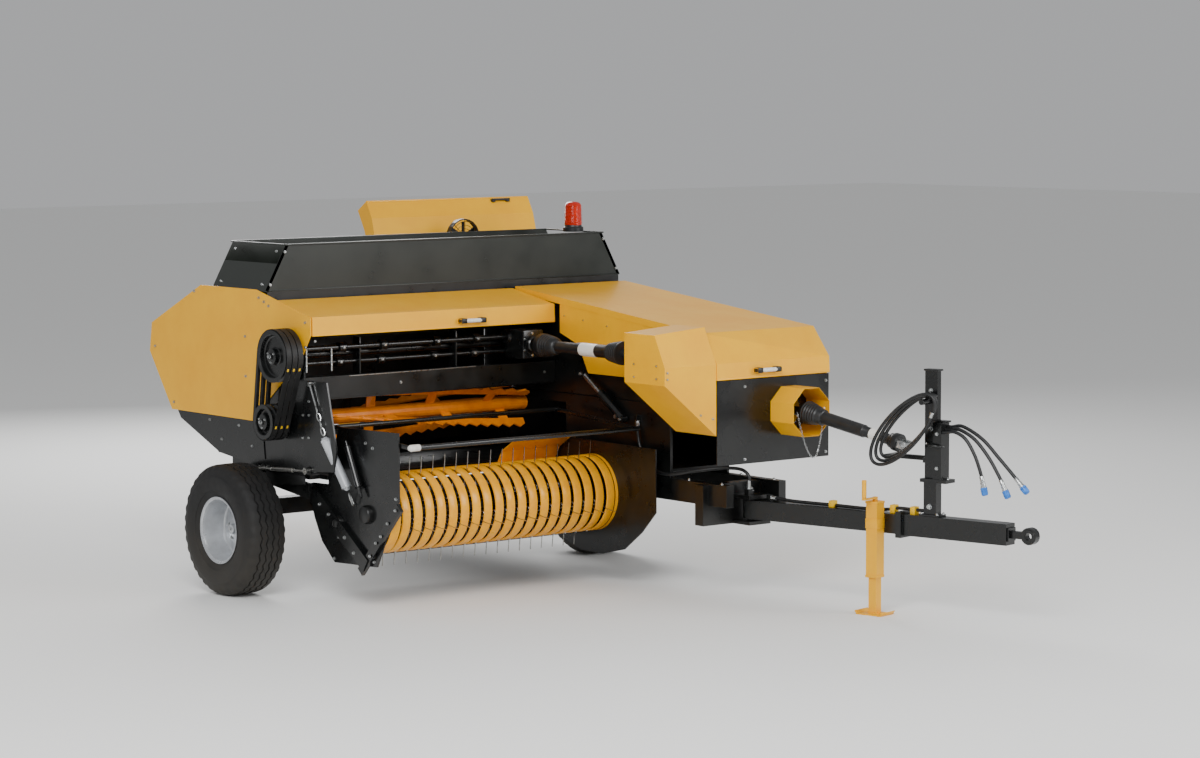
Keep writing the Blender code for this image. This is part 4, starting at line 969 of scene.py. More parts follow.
@dataclass
class Pickup:
    """The pickup: stripper bands, tine reel, end plates, springs and crop guard."""

    reel: Flat = (-0.09, 0.60)
    radius: float = 0.25
    first: float = -1.11
    pitch: float = 0.09
    count: int = 19
    bar_radius: float = 0.14
    tine: float = 0.003
    screw_angle: float = 272

    def bands(self) -> None:
        """Bend the crowned bands round the reel, with their screws and back tube."""
        z = self.reel[1]
        path = [(0.325, z + 0.180), (0.25, z + 0.190)] + arc(self.reel, self.radius, 60, 285, 40)
        half = self.pitch / 2 - 0.0125
        steps = [(-1.0, 0.010), (-0.86, 0.003), (-0.5, 0.0006), (0.0, 0.0), (0.5, 0.0006), (0.86, 0.003), (1.0, 0.010)]
        shape = bmesh.new()
        rows = []
        for number, point in enumerate(path):
            before, after = path[max(0, number - 1)], path[min(len(path) - 1, number + 1)]
            along = (Vector(after) - Vector(before)).normalized()
            inward = Vector((-along.y, along.x))
            rows.append([shape.verts.new((share * half, *(Vector(point) + inward * drop))) for share, drop in steps])
        for low, high in zip(rows, rows[1:]):
            for corner in range(len(steps) - 1):
                shape.faces.new((low[corner], low[corner + 1], high[corner + 1], high[corner]))
        bmesh.ops.recalc_face_normals(shape, faces=shape.faces)
        bmesh.ops.solidify(shape, geom=shape.faces[:], thickness=0.0022)
        places = [Matrix.Translation((self.first + self.pitch * (number + 0.5), 0, 0)) for number in range(self.count)]
        piece = Piece().repeat(shape, places)
        guide = [(0.31, 0.79), (0.26, 0.87), (0.12, 0.955), (0.12, 0.959), (0.262, 0.875), (0.314, 0.79)]
        piece.join(plate(guide, "X", (0.12, 0.60), 0.0006))
        piece.join(cuboid((-1.1815, 0.27, 0.745), (0.6115, 0.32, 0.795), 0.004))
        for low, high in ((-1.1800, -1.1130), (0.5895, 0.6110)):
            hoop = arc(self.reel, self.radius, 60, 285, 40) + arc(self.reel, self.radius - 0.0022, 285, 60, 40)
            piece.join(plate(hoop, "X", (low, high)))
        piece.place("stripper_bands", BAND_YELLOW, "pickup", ["strippers"])
        screws = Piece()
        for number in range(self.count):
            x = self.first + self.pitch * (number + 0.5)
            py, pz = arc(self.reel, self.radius + 0.001, self.screw_angle, 0, 1)[0]
            turn = math.radians(self.screw_angle)
            screws.bolts([(x, py, pz)], (0, math.cos(turn), math.sin(turn)), 0.007)
        screws.place("band_screws", ZINC, "pickup")

    def tine_shape(self, angle: float) -> bmesh.types.BMesh:
        """Bend one spring tine: a coil round its bar, a straight shank and a bent tip.

        Args:
            angle: where its bar stands round the reel.

        Returns:
            The tine.
        """
        outward = Vector((0, math.cos(angle), math.sin(angle)))
        trail = Vector((0, math.sin(angle), -math.cos(angle)))
        middle = Vector((0, *self.reel)) + outward * self.bar_radius
        points = []
        for step in range(25):
            turn = 2 * math.pi * step / 12 + math.pi / 2
            around = outward * math.sin(turn) * 0.017 + trail * math.cos(turn) * 0.017
            points.append(middle + around + Vector((-0.016 + 0.0065 * step / 12, 0, 0)))
        points += [middle + outward * 0.05 + trail * 0.016 - Vector((0.002, 0, 0)),
                   middle + outward * 0.12 + trail * 0.012, middle + outward * 0.138 + trail * 0.014,
                   middle + outward * 0.219 + trail * 0.035]
        return wire(points, self.tine, resolution=0)

    def tines(self) -> None:
        """Fit the reel's shaft, spiders, bars and tines."""
        left = self.first + 0.004
        right = self.first + self.pitch * self.count - 0.004
        frame = Piece().join(cylinder((-1.17, *self.reel), (0.60, *self.reel), 0.03, 28, 0.002))
        for x in (left + 0.02, (left + right) / 2, right - 0.026):
            outline = []
            for quarter in range(4):
                outline += arc(self.reel, 0.155, 20 + 90 * quarter - 14, 20 + 90 * quarter + 14, 4)
                outline += arc(self.reel, 0.07, 20 + 90 * quarter + 35, 20 + 90 * quarter + 55, 3)
            frame.join(plate(outline, "X", (x, x + 0.006), 0.001))
        wires, places = Piece(), [Matrix.Translation((self.first + self.pitch * (number + 1), 0, 0))
                                  for number in range(self.count - 1)]
        for quarter in range(4):
            angle = math.radians(20 + 90 * quarter)
            y, z = arc(self.reel, self.bar_radius, math.degrees(angle), 0, 1)[0]
            frame.join(cylinder((left, y, z), (right, y, z), 0.012, 18, 0.002))
            wires.repeat(self.tine_shape(angle), places)
        frame.place("reel_frame", CHASSIS_BLACK, "tine_reel", ["tine_reel"])
        wires.place("spring_tines", SPRING_STEEL, "tine_reel", sharp=60)

    def guard(self) -> None:
        """Fit the crop guard's bar with its side strips and hinge tube, and its white bush."""
        bar, hinge = Vector((-0.53, 1.05)), Vector((0.29, 1.115))
        piece = Piece().join(cylinder((-1.150, *bar), (0.628, *bar), 0.016, 28, 0.002))
        along = (hinge - bar).normalized()
        aside = Vector((-along.y, along.x)) * 0.014
        for x in (-1.176, 0.594):
            strip = [bar + aside, bar - aside, hinge - aside, hinge + aside]
            piece.join(plate([tuple(point) for point in strip], "X", (x, x + 0.008), 0.0015))
        piece.join(cylinder((-1.178, *hinge), (0.604, *hinge), 0.015, 24, 0.002))
        piece.place("guard_bar", BLACK, "wind_guard", ["wind_guard"])
        bush = [(-1.1865, 0.0), (-1.1865, 0.010), (-1.184, 0.014), (-1.176, 0.0165), (-1.172, 0.021),
                (-1.108, 0.021), (-1.105, 0.019), (-1.105, 0.0)]
        Piece().join(lathe(bush, "X", tuple(bar), 28)).place("guard_bush", NYLON, "wind_guard")

    def painted_shade_sheet(self) -> None:
        """Put a dark curved sheet behind the pickup's bands as painted shade: it stands for the shadow there, so the
        slots show dark instead of the lit floor.
        """
        outer, inner = arc(self.reel, 0.412, 19, -48, 16), arc(self.reel, 0.408, -48, 19, 16)
        painted_shade_sheet = plate(outer + inner, "X", (-1.1815, 0.6115))
        # painted shade: a black sheet where the pickup's back only lies in shadow
        Piece().join(painted_shade_sheet).place("pickup_painted_shade_sheet", CHASSIS_BLACK, "pickup")

    def plates(self) -> None:
        """Bolt the end plates and their arms, and cap the reel's bearings."""
        heads = [(-0.077, 1.045), (-0.154, 1.02), (0.044, 0.885), (0.233, 0.425), (0.284, 0.284), (-0.16, 0.31),
                 (-0.40, 0.726)]
        low = [(-0.429, 0.661), (-0.271, 0.484), (-0.151, 0.349), (-0.218, 0.437), (-0.345, 0.572)]
        arm = [(0.30, 0.565), (0.12, 0.437), (0.40, 0.62), (0.02, 0.35)]
        piece = Piece().bolts([(-1.19, *place) for place in heads], (-1, 0, 0), 0.011)
        piece.bolts([(-1.218, *place) for place in low], (-1, 0, 0), 0.010)
        piece.bolts([(-1.220, *place) for place in arm], (-1, 0, 0), 0.012)
        inner = [(-0.60, 0.80), (-0.50, 0.50), (-0.30, 0.35), (0.10, 0.26), (0.38, 0.48), (0.42, 0.66)]
        piece.bolts([(0.62, *place) for place in inner], (1, 0, 0), 0.010)
        piece.bolts([(-1.182, *place) for place in heads[:4]], (1, 0, 0), 0.009)
        piece.place("pickup_bolts", ZINC, "pickup")
        hub = [(-1.232, 0.0), (-1.232, 0.012), (-1.228, 0.024), (-1.216, 0.026), (-1.214, 0.042),
               (-1.206, 0.046), (-1.189, 0.047), (-1.189, 0.0)]
        outer = Piece().join(lathe(hub, "X", (0.222, 0.515), 32))
        for face, edge, side, foot in ((-1.226, -1.222, -1.212, -1.189), (0.655, 0.650, 0.640, 0.619)):
            cap = [(face, 0.0), (face, 0.035), (edge, 0.052), (side, 0.058), (foot, 0.060), (foot, 0.0)]
            outer.join(lathe(cap, "X", self.reel, 36))
        outer.place("reel_bearing_caps", CHASSIS_BLACK, "pickup")

    def springs(self) -> None:
        """Hang the pickup from the housing by its spring, chain and dark damper."""
        top, body_top = Vector((-1.3285, 0.337, 1.395)), Vector((-1.322, 0.178, 1.055))
        body_end, hook = Vector((-1.245, 0.055, 0.760)), Vector((-1.212, 0.044, 0.665))
        steel = Piece().join(cylinder(top + Vector((0.018, 0, 0)), top - Vector((0.008, 0, 0)), 0.013, 20, 0.002))
        steel.join(wire([top.lerp(body_top, share) for share in (0, 0.4)], 0.005))
        for number in range(4):
            middle = top.lerp(body_top, 0.47 + 0.13 * number)
            along = (body_top - top).normalized()
            aside = along.orthogonal().normalized()
            if number % 2:
                aside = along.cross(aside)
            loop = [middle + along * 0.026 * math.cos(turn) + aside * 0.011 * math.sin(turn)
                    for turn in (2 * math.pi * step / 12 for step in range(12))]
            steel.join(wire(loop, 0.0042, closed=True))
        along = (hook - body_end).normalized()
        aside = along.orthogonal().normalized()
        loop = [hook + along * (0.042 * math.cos(turn) - 0.02) + aside * 0.017 * math.sin(turn)
                for turn in (2 * math.pi * step / 16 for step in range(16))]
        steel.join(wire(loop, 0.005, closed=True))
        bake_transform(steel.place("lift_spring_chain", ZINC, None))
        axis = (body_end - body_top).normalized()
        sleeve = Piece().join(cylinder(body_top, body_end, 0.031, 28, 0.004),
                              cylinder(body_top - axis * 0.014, body_top + axis * 0.002, 0.018, 20, 0.002, 0.027),
                              cylinder(body_end - axis * 0.002, body_end + axis * 0.018, 0.027, 20, 0.002, 0.014))
        for share in (0.02, 0.93, 0.97):
            middle = body_top.lerp(body_end, share)
            sleeve.join(cylinder(middle, middle + axis * 0.006, 0.0325, 28, 0.001))
        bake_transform(sleeve.place("lift_spring_sleeve", SILVER, None))
        start, end = Vector((-1.218, 0.102, 1.044)), Vector((-1.218, -0.035, 0.768))
        damper = Piece().join(cylinder(start.lerp(end, 0.12), end, 0.021, 24, 0.005),
                              cylinder(start, start.lerp(end, 0.14), 0.011, 16, 0.001),
                              cylinder(end, end.lerp(start, -0.22), 0.014, 16, 0.002, 0.007))
        damper.place("pickup_damper", BLACK, "pickup")

    def build(self) -> None:
        """Make the pickup's pieces."""
        self.bands()
        self.tines()
        self.guard()
        self.painted_shade_sheet()
        self.plates()
        self.springs()


@dataclass
class Hoods:
    """The yellow panels and hoods with their grab handles, bolts and hinges."""

    shield_x: float = -1.32
    hinge: Flat = (0.80, 1.885)
    shield_bolts: tuple[Flat, ...] = ((1.697, 1.912), (0.917, 1.907), (0.857, 1.883), (0.804, 1.859), (1.084, 1.649),
                                      (1.083, 1.392), (0.386, 1.775), (0.386, 1.621), (2.20, 1.52), (1.97, 1.16))

    def handle(self, name: str, x: Flat, face: float, z: float, body: str) -> None:
        """Fit a grab handle: two moulded feet, and a pale tube between them.

        Args:
            name: the piece's name.
            x: the handle's two ends.
            face: where the panel's face is on Y.
            z: its height.
            body: the body that it moves with.
        """
        feet = Piece()
        for low, high in ((x[0] - 0.001, x[0] + 0.046), (x[1] - 0.046, x[1] + 0.001)):
            feet.join(cuboid((low, face - 0.050, z - 0.017), (high, face - 0.0005, z + 0.017), 0.008))
        feet.place(f"{name}_feet", MOULDED, body)
        bar = face - 0.036
        grip = Piece().join(cylinder((x[0] + 0.04, bar, z), (x[1] - 0.04, bar, z), 0.0135, 24, 0.001))
        grip.place(f"{name}_grip", NYLON, body)

    def fittings(self) -> None:
        """Bolt the fixed panels on and hinge the hoods."""
        piece = Piece().bolts([(self.shield_x, *place) for place in self.shield_bolts], (-1, 0, 0), 0.010)
        slots = [(1.523, 1.077), (1.171, 1.067), (1.38, 0.96), (1.016, 0.944)]
        piece.bolts([(self.shield_x, *place) for place in slots], (-1, 0, 0), 0.010)
        wall = [(0.37, 1.382), (0.367, 1.281), (0.435, 1.189), (0.368, 1.193), (0.438, 1.045), (0.371, 1.05)]
        piece.bolts([(self.shield_x + 0.0063, *place) for place in wall], (-1, 0, 0), 0.009)
        leaning = (0, -0.895, 0.447)
        piece.bolts([(x, y, z) for x in (0.24, 0.60) for y, z in ((-0.915, 1.70), (-0.955, 1.68))],
                    leaning, 0.006)
        piece.bolts([(0.23, -1.295, z) for z in (1.44, 1.48)], (0, -1, 0), 0.008)
        piece.bolts([(x, -1.295, 1.20 - 0.29 * (x - 0.50)) for x in (0.50, 0.60)], (0, -1, 0), 0.008)
        piece.bolts([(0.205, y, z) for y in (-1.22, -1.0) for z in (1.44, 1.52)], (-1, 0, 0), 0.007)
        piece.bolts([(x, -1.3005, z) for x in (0.86, 1.55) for z in (0.90, 1.36)], (0, -1, 0), 0.010)
        piece.bolts([(1.5765, y, z) for z in (1.44, 0.92) for y in (-1.20, -0.75, -0.30, 0.15)], (1, 0, 0), 0.010)
        piece.bolts([(0.6335, -1.23 + 0.17 * step, 1.455 + 0.012 * step) for step in range(2)], (-1, 0, 0), 0.006)
        piece.bolts([(0.6335, y, 1.66 + 0.10 * (y + 0.5)) for y in (-0.70, -0.45, -0.20, 0.05, 0.25)],
                    (-1, 0, 0), 0.006)
        piece.bolts([(-1.29, 0.3265, 1.66)], (0, -1, 0), 0.008)
        piece.bolts([(0.70, 1.2325, z) for z in (1.30, 1.60)], (0, -1, 0), 0.010)
        piece.place("panel_bolts", ZINC, "chassis")
        y, z = self.hinge
        for name, span, body in (("feeder_hood_hinges", (-1.20, -0.35, 0.50), "feeder_hood"),
                                 ("flywheel_hood_hinges", (0.75, 1.46), "flywheel_hood")):
            leaves = Piece()
            for x in span:
                leaves.join(cylinder((x - 0.05, y, z), (x + 0.05, y, z), 0.008, 16, 0.002))
                leaves.join(cuboid((x - 0.045, y - 0.07, z - 0.009), (x + 0.045, y - 0.004, z - 0.004), 0.001))
            leaves.place(name, BLACK, body)

    def bulkheads(self) -> None:
        """Close the hood behind and beside the plunger with black sheets."""
        piece = Piece().join(cuboid((0.712, 1.234, 1.185), (1.566, 1.238, 1.848), 0.001),
                             cuboid((1.561, 0.302, 1.215), (1.565, 1.232, 1.848), 0.001))
        for y, z in ((1.26, 1.20), (1.26, 1.55), (1.26, 1.80)):
            piece.join(cuboid((-1.28, y - 0.012, z), (0.69, y + 0.018, z + 0.03), 0.003))
        for x in (-1.15, -0.55, 0.05, 0.60):
            piece.join(cuboid((x, 1.2475, 1.05), (x + 0.04, 1.275, 1.90), 0.003))
        outline = [(-0.93, 1.215), (-0.93, 1.45), (0.0, 1.45), (0.30, 1.62), (0.30, 1.78), (1.23, 1.84), (1.23, 1.215)]
        piece.join(plate(outline, "X", (0.713, 0.717), 0.001))
        skirt = [(0.44, 0.745), (0.93, 0.705), (0.93, 0.82), (0.44, 0.82)]
        piece.join(plate(skirt, "X", (-1.3000, -1.2960), 0.001))
        piece.place("hood_bulkheads", CHASSIS_BLACK, "chassis")

    def edges(self) -> None:
        """Fold the hoods' lower edges and press a stiffening swage along them."""
        fold = Piece().join(cuboid((-1.30, 0.3225, 1.690), (0.61, 0.3275, 1.702), 0.002))
        fold.join(cuboid((-1.30, 0.333, 1.690), (0.61, 0.351, 1.693), 0.001))
        fold.place("feeder_hood_fold", YELLOW, "feeder_hood")
        fold = Piece().join(cuboid((0.632, -1.3095, 1.410), (1.578, -1.3035, 1.421), 0.002))
        fold.place("flywheel_hood_fold", YELLOW, "flywheel_hood")
        seam = Piece().join(cuboid((0.6265, -1.2915, 1.392), (0.6335, -1.10, 1.400), 0.002))
        seam.place("hood_side_seam", YELLOW, "chassis")

    def build(self) -> None:
        """Make handles, bolts, hinges and folds."""
        self.handle("feeder_hood_handle", (-0.18, 0.02), 0.3295, 1.735, "feeder_hood")
        self.handle("flywheel_hood_handle", (0.93, 1.13), -1.303, 1.46, "flywheel_hood")
        self.fittings()
        self.bulkheads()
        self.edges()


@dataclass
class TwineBox:
    """The open twine box with its rim, its corner bolts, its dividers and the warning lamp."""

    foot: float = 1.9453
    rim: float = 2.24
    feet: Flat = (-1.3125, 1.60)
    rims: Flat = (-1.15, 1.44)
    depth: Flat = (0.86, 1.49)
    lamp: Flat = (1.38, 1.10)

    def side(self, share: float, right: bool) -> float:
        """Where a sloping end is on X at a share of the box's height."""
        low, high = self.feet[right], self.rims[right]
        return low + (high - low) * share

    def build(self) -> None:
        """Fold the rim over, seam the corners, bolt them, part the inside and fit the lamp."""
        y0, y1 = self.depth
        piece = Piece()
        for y, out in ((y0, -1), (y1, 1)):
            piece.join(cuboid((self.rims[0] - 0.006, min(y, y + 0.016 * out), self.rim - 0.004),
                              (self.rims[1] + 0.006, max(y, y + 0.016 * out), self.rim + 0.006), 0.002))
        for x, out in ((self.rims[0], -1), (self.rims[1], 1)):
            piece.join(cuboid((min(x, x + 0.014 * out), y0, self.rim - 0.004),
                              (max(x, x + 0.014 * out), y1, self.rim + 0.006), 0.002))
        for x in (-0.52, 0.14, 0.80):
            piece.join(cuboid((x, y0 + 0.006, 1.955), (x + 0.003, y1 - 0.006, self.rim - 0.03), 0.001))
        piece.join(cuboid((self.feet[0] + 0.02, y0 - 0.016, 1.9455), (self.feet[1] - 0.02, y0 + 0.002, 1.952), 0.002))
        for right in (False, True):
            out = 1 if right else -1
            ends = []
            for share in (0.02, 0.98):
                ends.append(Vector((self.side(share, right), y0 - 0.0015, self.foot + 0.295 * share)))
            inward = Vector((-out * 0.024, 0, 0))
            outline = [(point.x, point.z) for point in (ends[0], ends[1], ends[1] + inward, ends[0] + inward)]
            shape = bmesh.new()
            shape.faces.new([shape.verts.new((x, y0 - 0.0004, z)) for x, z in outline])
            bmesh.ops.solidify(shape, geom=shape.faces[:], thickness=0.0025 if right else -0.0025)
            bmesh.ops.recalc_face_normals(shape, faces=shape.faces)
            piece.join(shape)
        piece.place("twine_box_rims", BOX_BLACK, "chassis")
        heads = Piece()
        for right in (False, True):
            out = 1 if right else -1
            for share in (0.15, 0.85):
                x, z = self.side(share, right), self.foot + 0.295 * share
                heads.bolts([(x - out * 0.014, y0 - 0.003, z)], (0, -1, 0), 0.010)
                heads.bolts([(x, y, z) for y in (0.93, 1.42)], (out * 0.87, 0, 0.48), 0.010)
        heads.place("twine_box_bolts", ZINC, "chassis")
        self.beacon()

    def beacon(self) -> None:
        """Spin the lamp's ribbed lens and its base."""
        base = [(2.2403, 0.0), (2.2403, 0.068), (2.244, 0.071), (2.268, 0.071), (2.272, 0.068), (2.274, 0.060),
                (2.286, 0.058), (2.286, 0.0)]
        Piece().join(lathe(base, "Z", self.lamp, 48)).place("beacon_base", MOULDED, "chassis", sharp=30)
        lens = [(2.286, 0.0), (2.286, 0.0585), (2.290, 0.0600)]
        for ring in range(13):
            low = 2.294 + ring * 0.0098
            lens += [(low, 0.0595 - ring * 0.0003), (low + 0.002, 0.0615 - ring * 0.0003),
                     (low + 0.007, 0.0615 - ring * 0.0003), (low + 0.009, 0.0595 - ring * 0.0003)]
        lens += [(2.428, 0.054), (2.438, 0.046), (2.444, 0.034), (2.447, 0.018), (2.448, 0.0)]
        Piece().join(lathe(lens, "Z", self.lamp, 64)).place("beacon_lens", LENS, "chassis", ["beacon"], sharp=50)


@dataclass
class Knotters:
    """The knotter cover's handle and seams, the fan's guard and the density springs."""

    fan: Point = (0.80, 1.60, 2.20)
    hinge: Flat = (1.78, 1.85)
    ends: Flat = (0.20, 1.60)

    def build(self) -> None:
        """Make the fan, cover fittings and springs."""
        x, y, z = self.fan
        rings = Piece()
        for radius in (0.035, 0.060, 0.085, 0.110):
            points = [(px, y - 0.024, pz) for px, pz in arc((x, z), radius, 0, 352.5, 47)]
            rings.join(wire(points, 0.0018, closed=True))
        for spoke in range(8):
            inner, outer = (arc((x, z), radius, 45 * spoke, 0, 1)[0] for radius in (0.030, 0.124))
            rings.join(wire([(inner[0], y - 0.024, inner[1]), (outer[0], y - 0.022, outer[1])], 0.0022))
        rings.place("fan_guard_wires", CHASSIS_BLACK, "chassis")
        hub = [(1.574, 0.0), (1.574, 0.012), (1.577, 0.024), (1.582, 0.029), (1.618, 0.031), (1.618, 0.0)]
        Piece().join(lathe(hub, "Y", (x, z), 32)).place("fan_hub_cap", SILVER, "knotter_fan")
        top_y, top_z = self.hinge[0] + 0.125, self.hinge[1] + 0.605
        grip = Piece().join(cuboid((1.262, top_y - 0.030, top_z - 0.030), (1.292, top_y - 0.002, top_z - 0.008), 0.004),
                            cuboid((1.388, top_y - 0.030, top_z - 0.030), (1.418, top_y - 0.002, top_z - 0.008), 0.004),
                            cylinder((1.265, top_y - 0.024, top_z - 0.012), (1.415, top_y - 0.024, top_z - 0.012),
                                     0.008, 20, 0.002))
        grip.place("knotter_cover_handle", MOULDED, "knotter_cover")
        fold = Piece()
        fold.join(cuboid((self.ends[0] + 0.002, top_y - 0.004, top_z - 0.007),
                         (self.ends[1] - 0.002, top_y + 0.012, top_z + 0.001), 0.002))
        fold.place("knotter_cover_fold", YELLOW, "knotter_cover")
        springs = Piece()
        for px in (0.82, 1.10):
            springs.join(wire(helix((px, 2.55, 1.262), (px, 2.55, 1.425), 0.029, 9, 16), 0.0055))
            springs.join(cylinder((px, 2.55, 1.426), (px, 2.55, 1.434), 0.038, 28, 0.002))
            springs.join(cylinder((px, 2.55, 1.252), (px, 2.55, 1.260), 0.038, 28, 0.002))
        springs.place("density_springs", SPRING_STEEL, "chassis", sharp=60)
        knots = Piece()
        for px in (0.865, 1.045):
            for step in range(5):
                py, pz = arc((1.88, 1.36), 0.085, 72 * step, 0, 1)[0]
                knots.bolts([(px - 0.0155, py, pz)], (-1, 0, 0), 0.008)
            knots.join(cuboid((px - 0.012, 1.775, 1.215), (px + 0.012, 1.86, 1.30), 0.006),
                       cylinder((px, 1.85, 1.24), (px, 1.92, 1.21), 0.012, 16, 0.002, 0.006))
        knots.place("knotter_bills", ZINC, "chassis")


@dataclass
class Shafts:
    """The guarded shafts: ribbed bells, tubes, blank bands and guard chains."""

    start: Point = (1.23, -1.46, 1.19)
    heading: float = math.radians(6)
    fall: float = -0.18
    feed: Flat = (0.40, 1.555)

    def build(self) -> None:
        """Spin both guards, and hang the input shaft's chain."""
        heading = Vector((math.sin(self.heading), -math.cos(self.heading), self.fall)).normalized()
        turn = Matrix.Translation(self.start) @ heading.to_track_quat("Z", "Y").to_matrix().to_4x4()
        profile = [(-0.02, 0.0), (-0.02, 0.048), (0.0, 0.062), (0.018, 0.075), (0.024, 0.076), (0.028, 0.072)]
        for rib in range(5):
            low = 0.030 + 0.018 * rib
            swell = 0.072 - 0.0035 * rib
            profile += [(low, swell), (low + 0.004, swell + 0.0025), (low + 0.010, swell + 0.0025),
                        (low + 0.014, swell - 0.001)]
        profile += [(0.122, 0.054), (0.128, 0.0515), (0.158, 0.0515), (0.162, 0.049), (0.166, 0.041), (0.50, 0.0405),
                    (0.502, 0.0385), (0.508, 0.0345), (0.715, 0.0345), (0.719, 0.042), (0.724, 0.046),
                    (0.742, 0.047), (0.746, 0.052), (0.756, 0.056), (0.796, 0.0565), (0.80, 0.054), (0.80, 0.0)]
        shape = lathe(profile, "Z", (0, 0), 56)
        shape.transform(turn)
        Piece().join(shape).place("input_shaft_guard", MOULDED, "pto_shaft", ["pto_shaft"], sharp=40)
        band = lathe([(0.56, 0.0348), (0.56, 0.0354), (0.66, 0.0354), (0.66, 0.0348)], "Z", (0, 0), 48, closed=True)
        band.transform(turn)
        Piece().join(band).place("input_shaft_band", LABEL, "pto_shaft")
        fork = Piece()
        for out in (-1, 1):
            arm = cuboid((out * 0.036 - 0.009, -0.024, 0.77), (out * 0.036 + 0.009, 0.024, 0.862), 0.006)
            arm.transform(turn)
            fork.join(arm)
        core = cylinder((0, 0, 0.74), (0, 0, 0.806), 0.030, 24, 0.004)
        core.transform(turn)
        cross = cylinder((-0.030, 0, 0.845), (0.030, 0, 0.845), 0.013, 20, 0.002)
        cross.transform(turn)
        fork.join(core, cross)
        fork.place("input_shaft_fork", ZINC, "pto_shaft")
        self.feeder_shaft()
        self.chain()

    def feeder_shaft(self) -> None:
        """Spin the guard of the shaft from the angle gearbox to the side cover."""
        profile = [(-0.8997, 0.0), (-0.8997, 0.03), (-0.662, 0.03), (-0.660, 0.075), (-0.652, 0.077)]
        for rib in range(5):
            low = -0.640 + 0.022 * rib
            swell = 0.073 - 0.0035 * rib
            profile += [(low, swell), (low + 0.005, swell + 0.0025), (low + 0.013, swell + 0.0025),
                        (low + 0.017, swell - 0.001)]
        profile += [(-0.522, 0.056), (-0.515, 0.050), (-0.50, 0.043), (-0.20, 0.042), (-0.196, 0.037), (0.02, 0.0365),
                    (0.024, 0.046), (0.030, 0.052), (0.05, 0.060)]
        for rib in range(5):
            low = 0.060 + 0.021 * rib
            swell = 0.062 + 0.0034 * rib
            profile += [(low, swell), (low + 0.004, swell + 0.0025), (low + 0.011, swell + 0.0025),
                        (low + 0.015, swell)]
        profile += [(0.186, 0.079), (0.190, 0.078), (0.190, 0.058), (0.15, 0.055), (0.15, 0.0)]
        shape = lathe(profile, "Y", self.feed, 56)
        Piece().join(shape).place("feeder_shaft_guard", MOULDED, "chassis", ["feeder_drive_shaft"], sharp=40)
        band = lathe([(-0.40, 0.0425), (-0.40, 0.0431), (-0.24, 0.0431), (-0.24, 0.0425)], "Y", self.feed, 48,
                     closed=True)
        Piece().join(band).place("feeder_shaft_band", LABEL, "chassis")

    def chain(self) -> None:
        """Hang the small links of the guard's chain in a bight from the octagon's edge."""
        low, high = Vector((1.10, -1.526, 1.20)), Vector((1.262, -1.60, 1.225))
        points = []
        for step in range(61):
            share = step / 60
            sag = 0.30 * (1 - (2 * share - 1) ** 2)
            points.append(low.lerp(high, share) + Vector((0, -0.03 * math.sin(math.pi * share), -sag)))
        route = smooth(points, 0.0135)
        links = Piece()
        for number, (start, end) in enumerate(zip(route, route[1:])):
            along = (end - start).normalized()
            aside = along.orthogonal().normalized()
            if number % 2:
                aside = along.cross(aside)
            middle = (start + end) / 2
            loop = [middle + along * 0.0095 * math.cos(turn) + aside * 0.0045 * math.sin(turn)
                    for turn in (2 * math.pi * step / 8 for step in range(8))]
            links.join(wire(loop, 0.0014, closed=True, resolution=0))
        links.place("guard_chain", ZINC, "chassis")


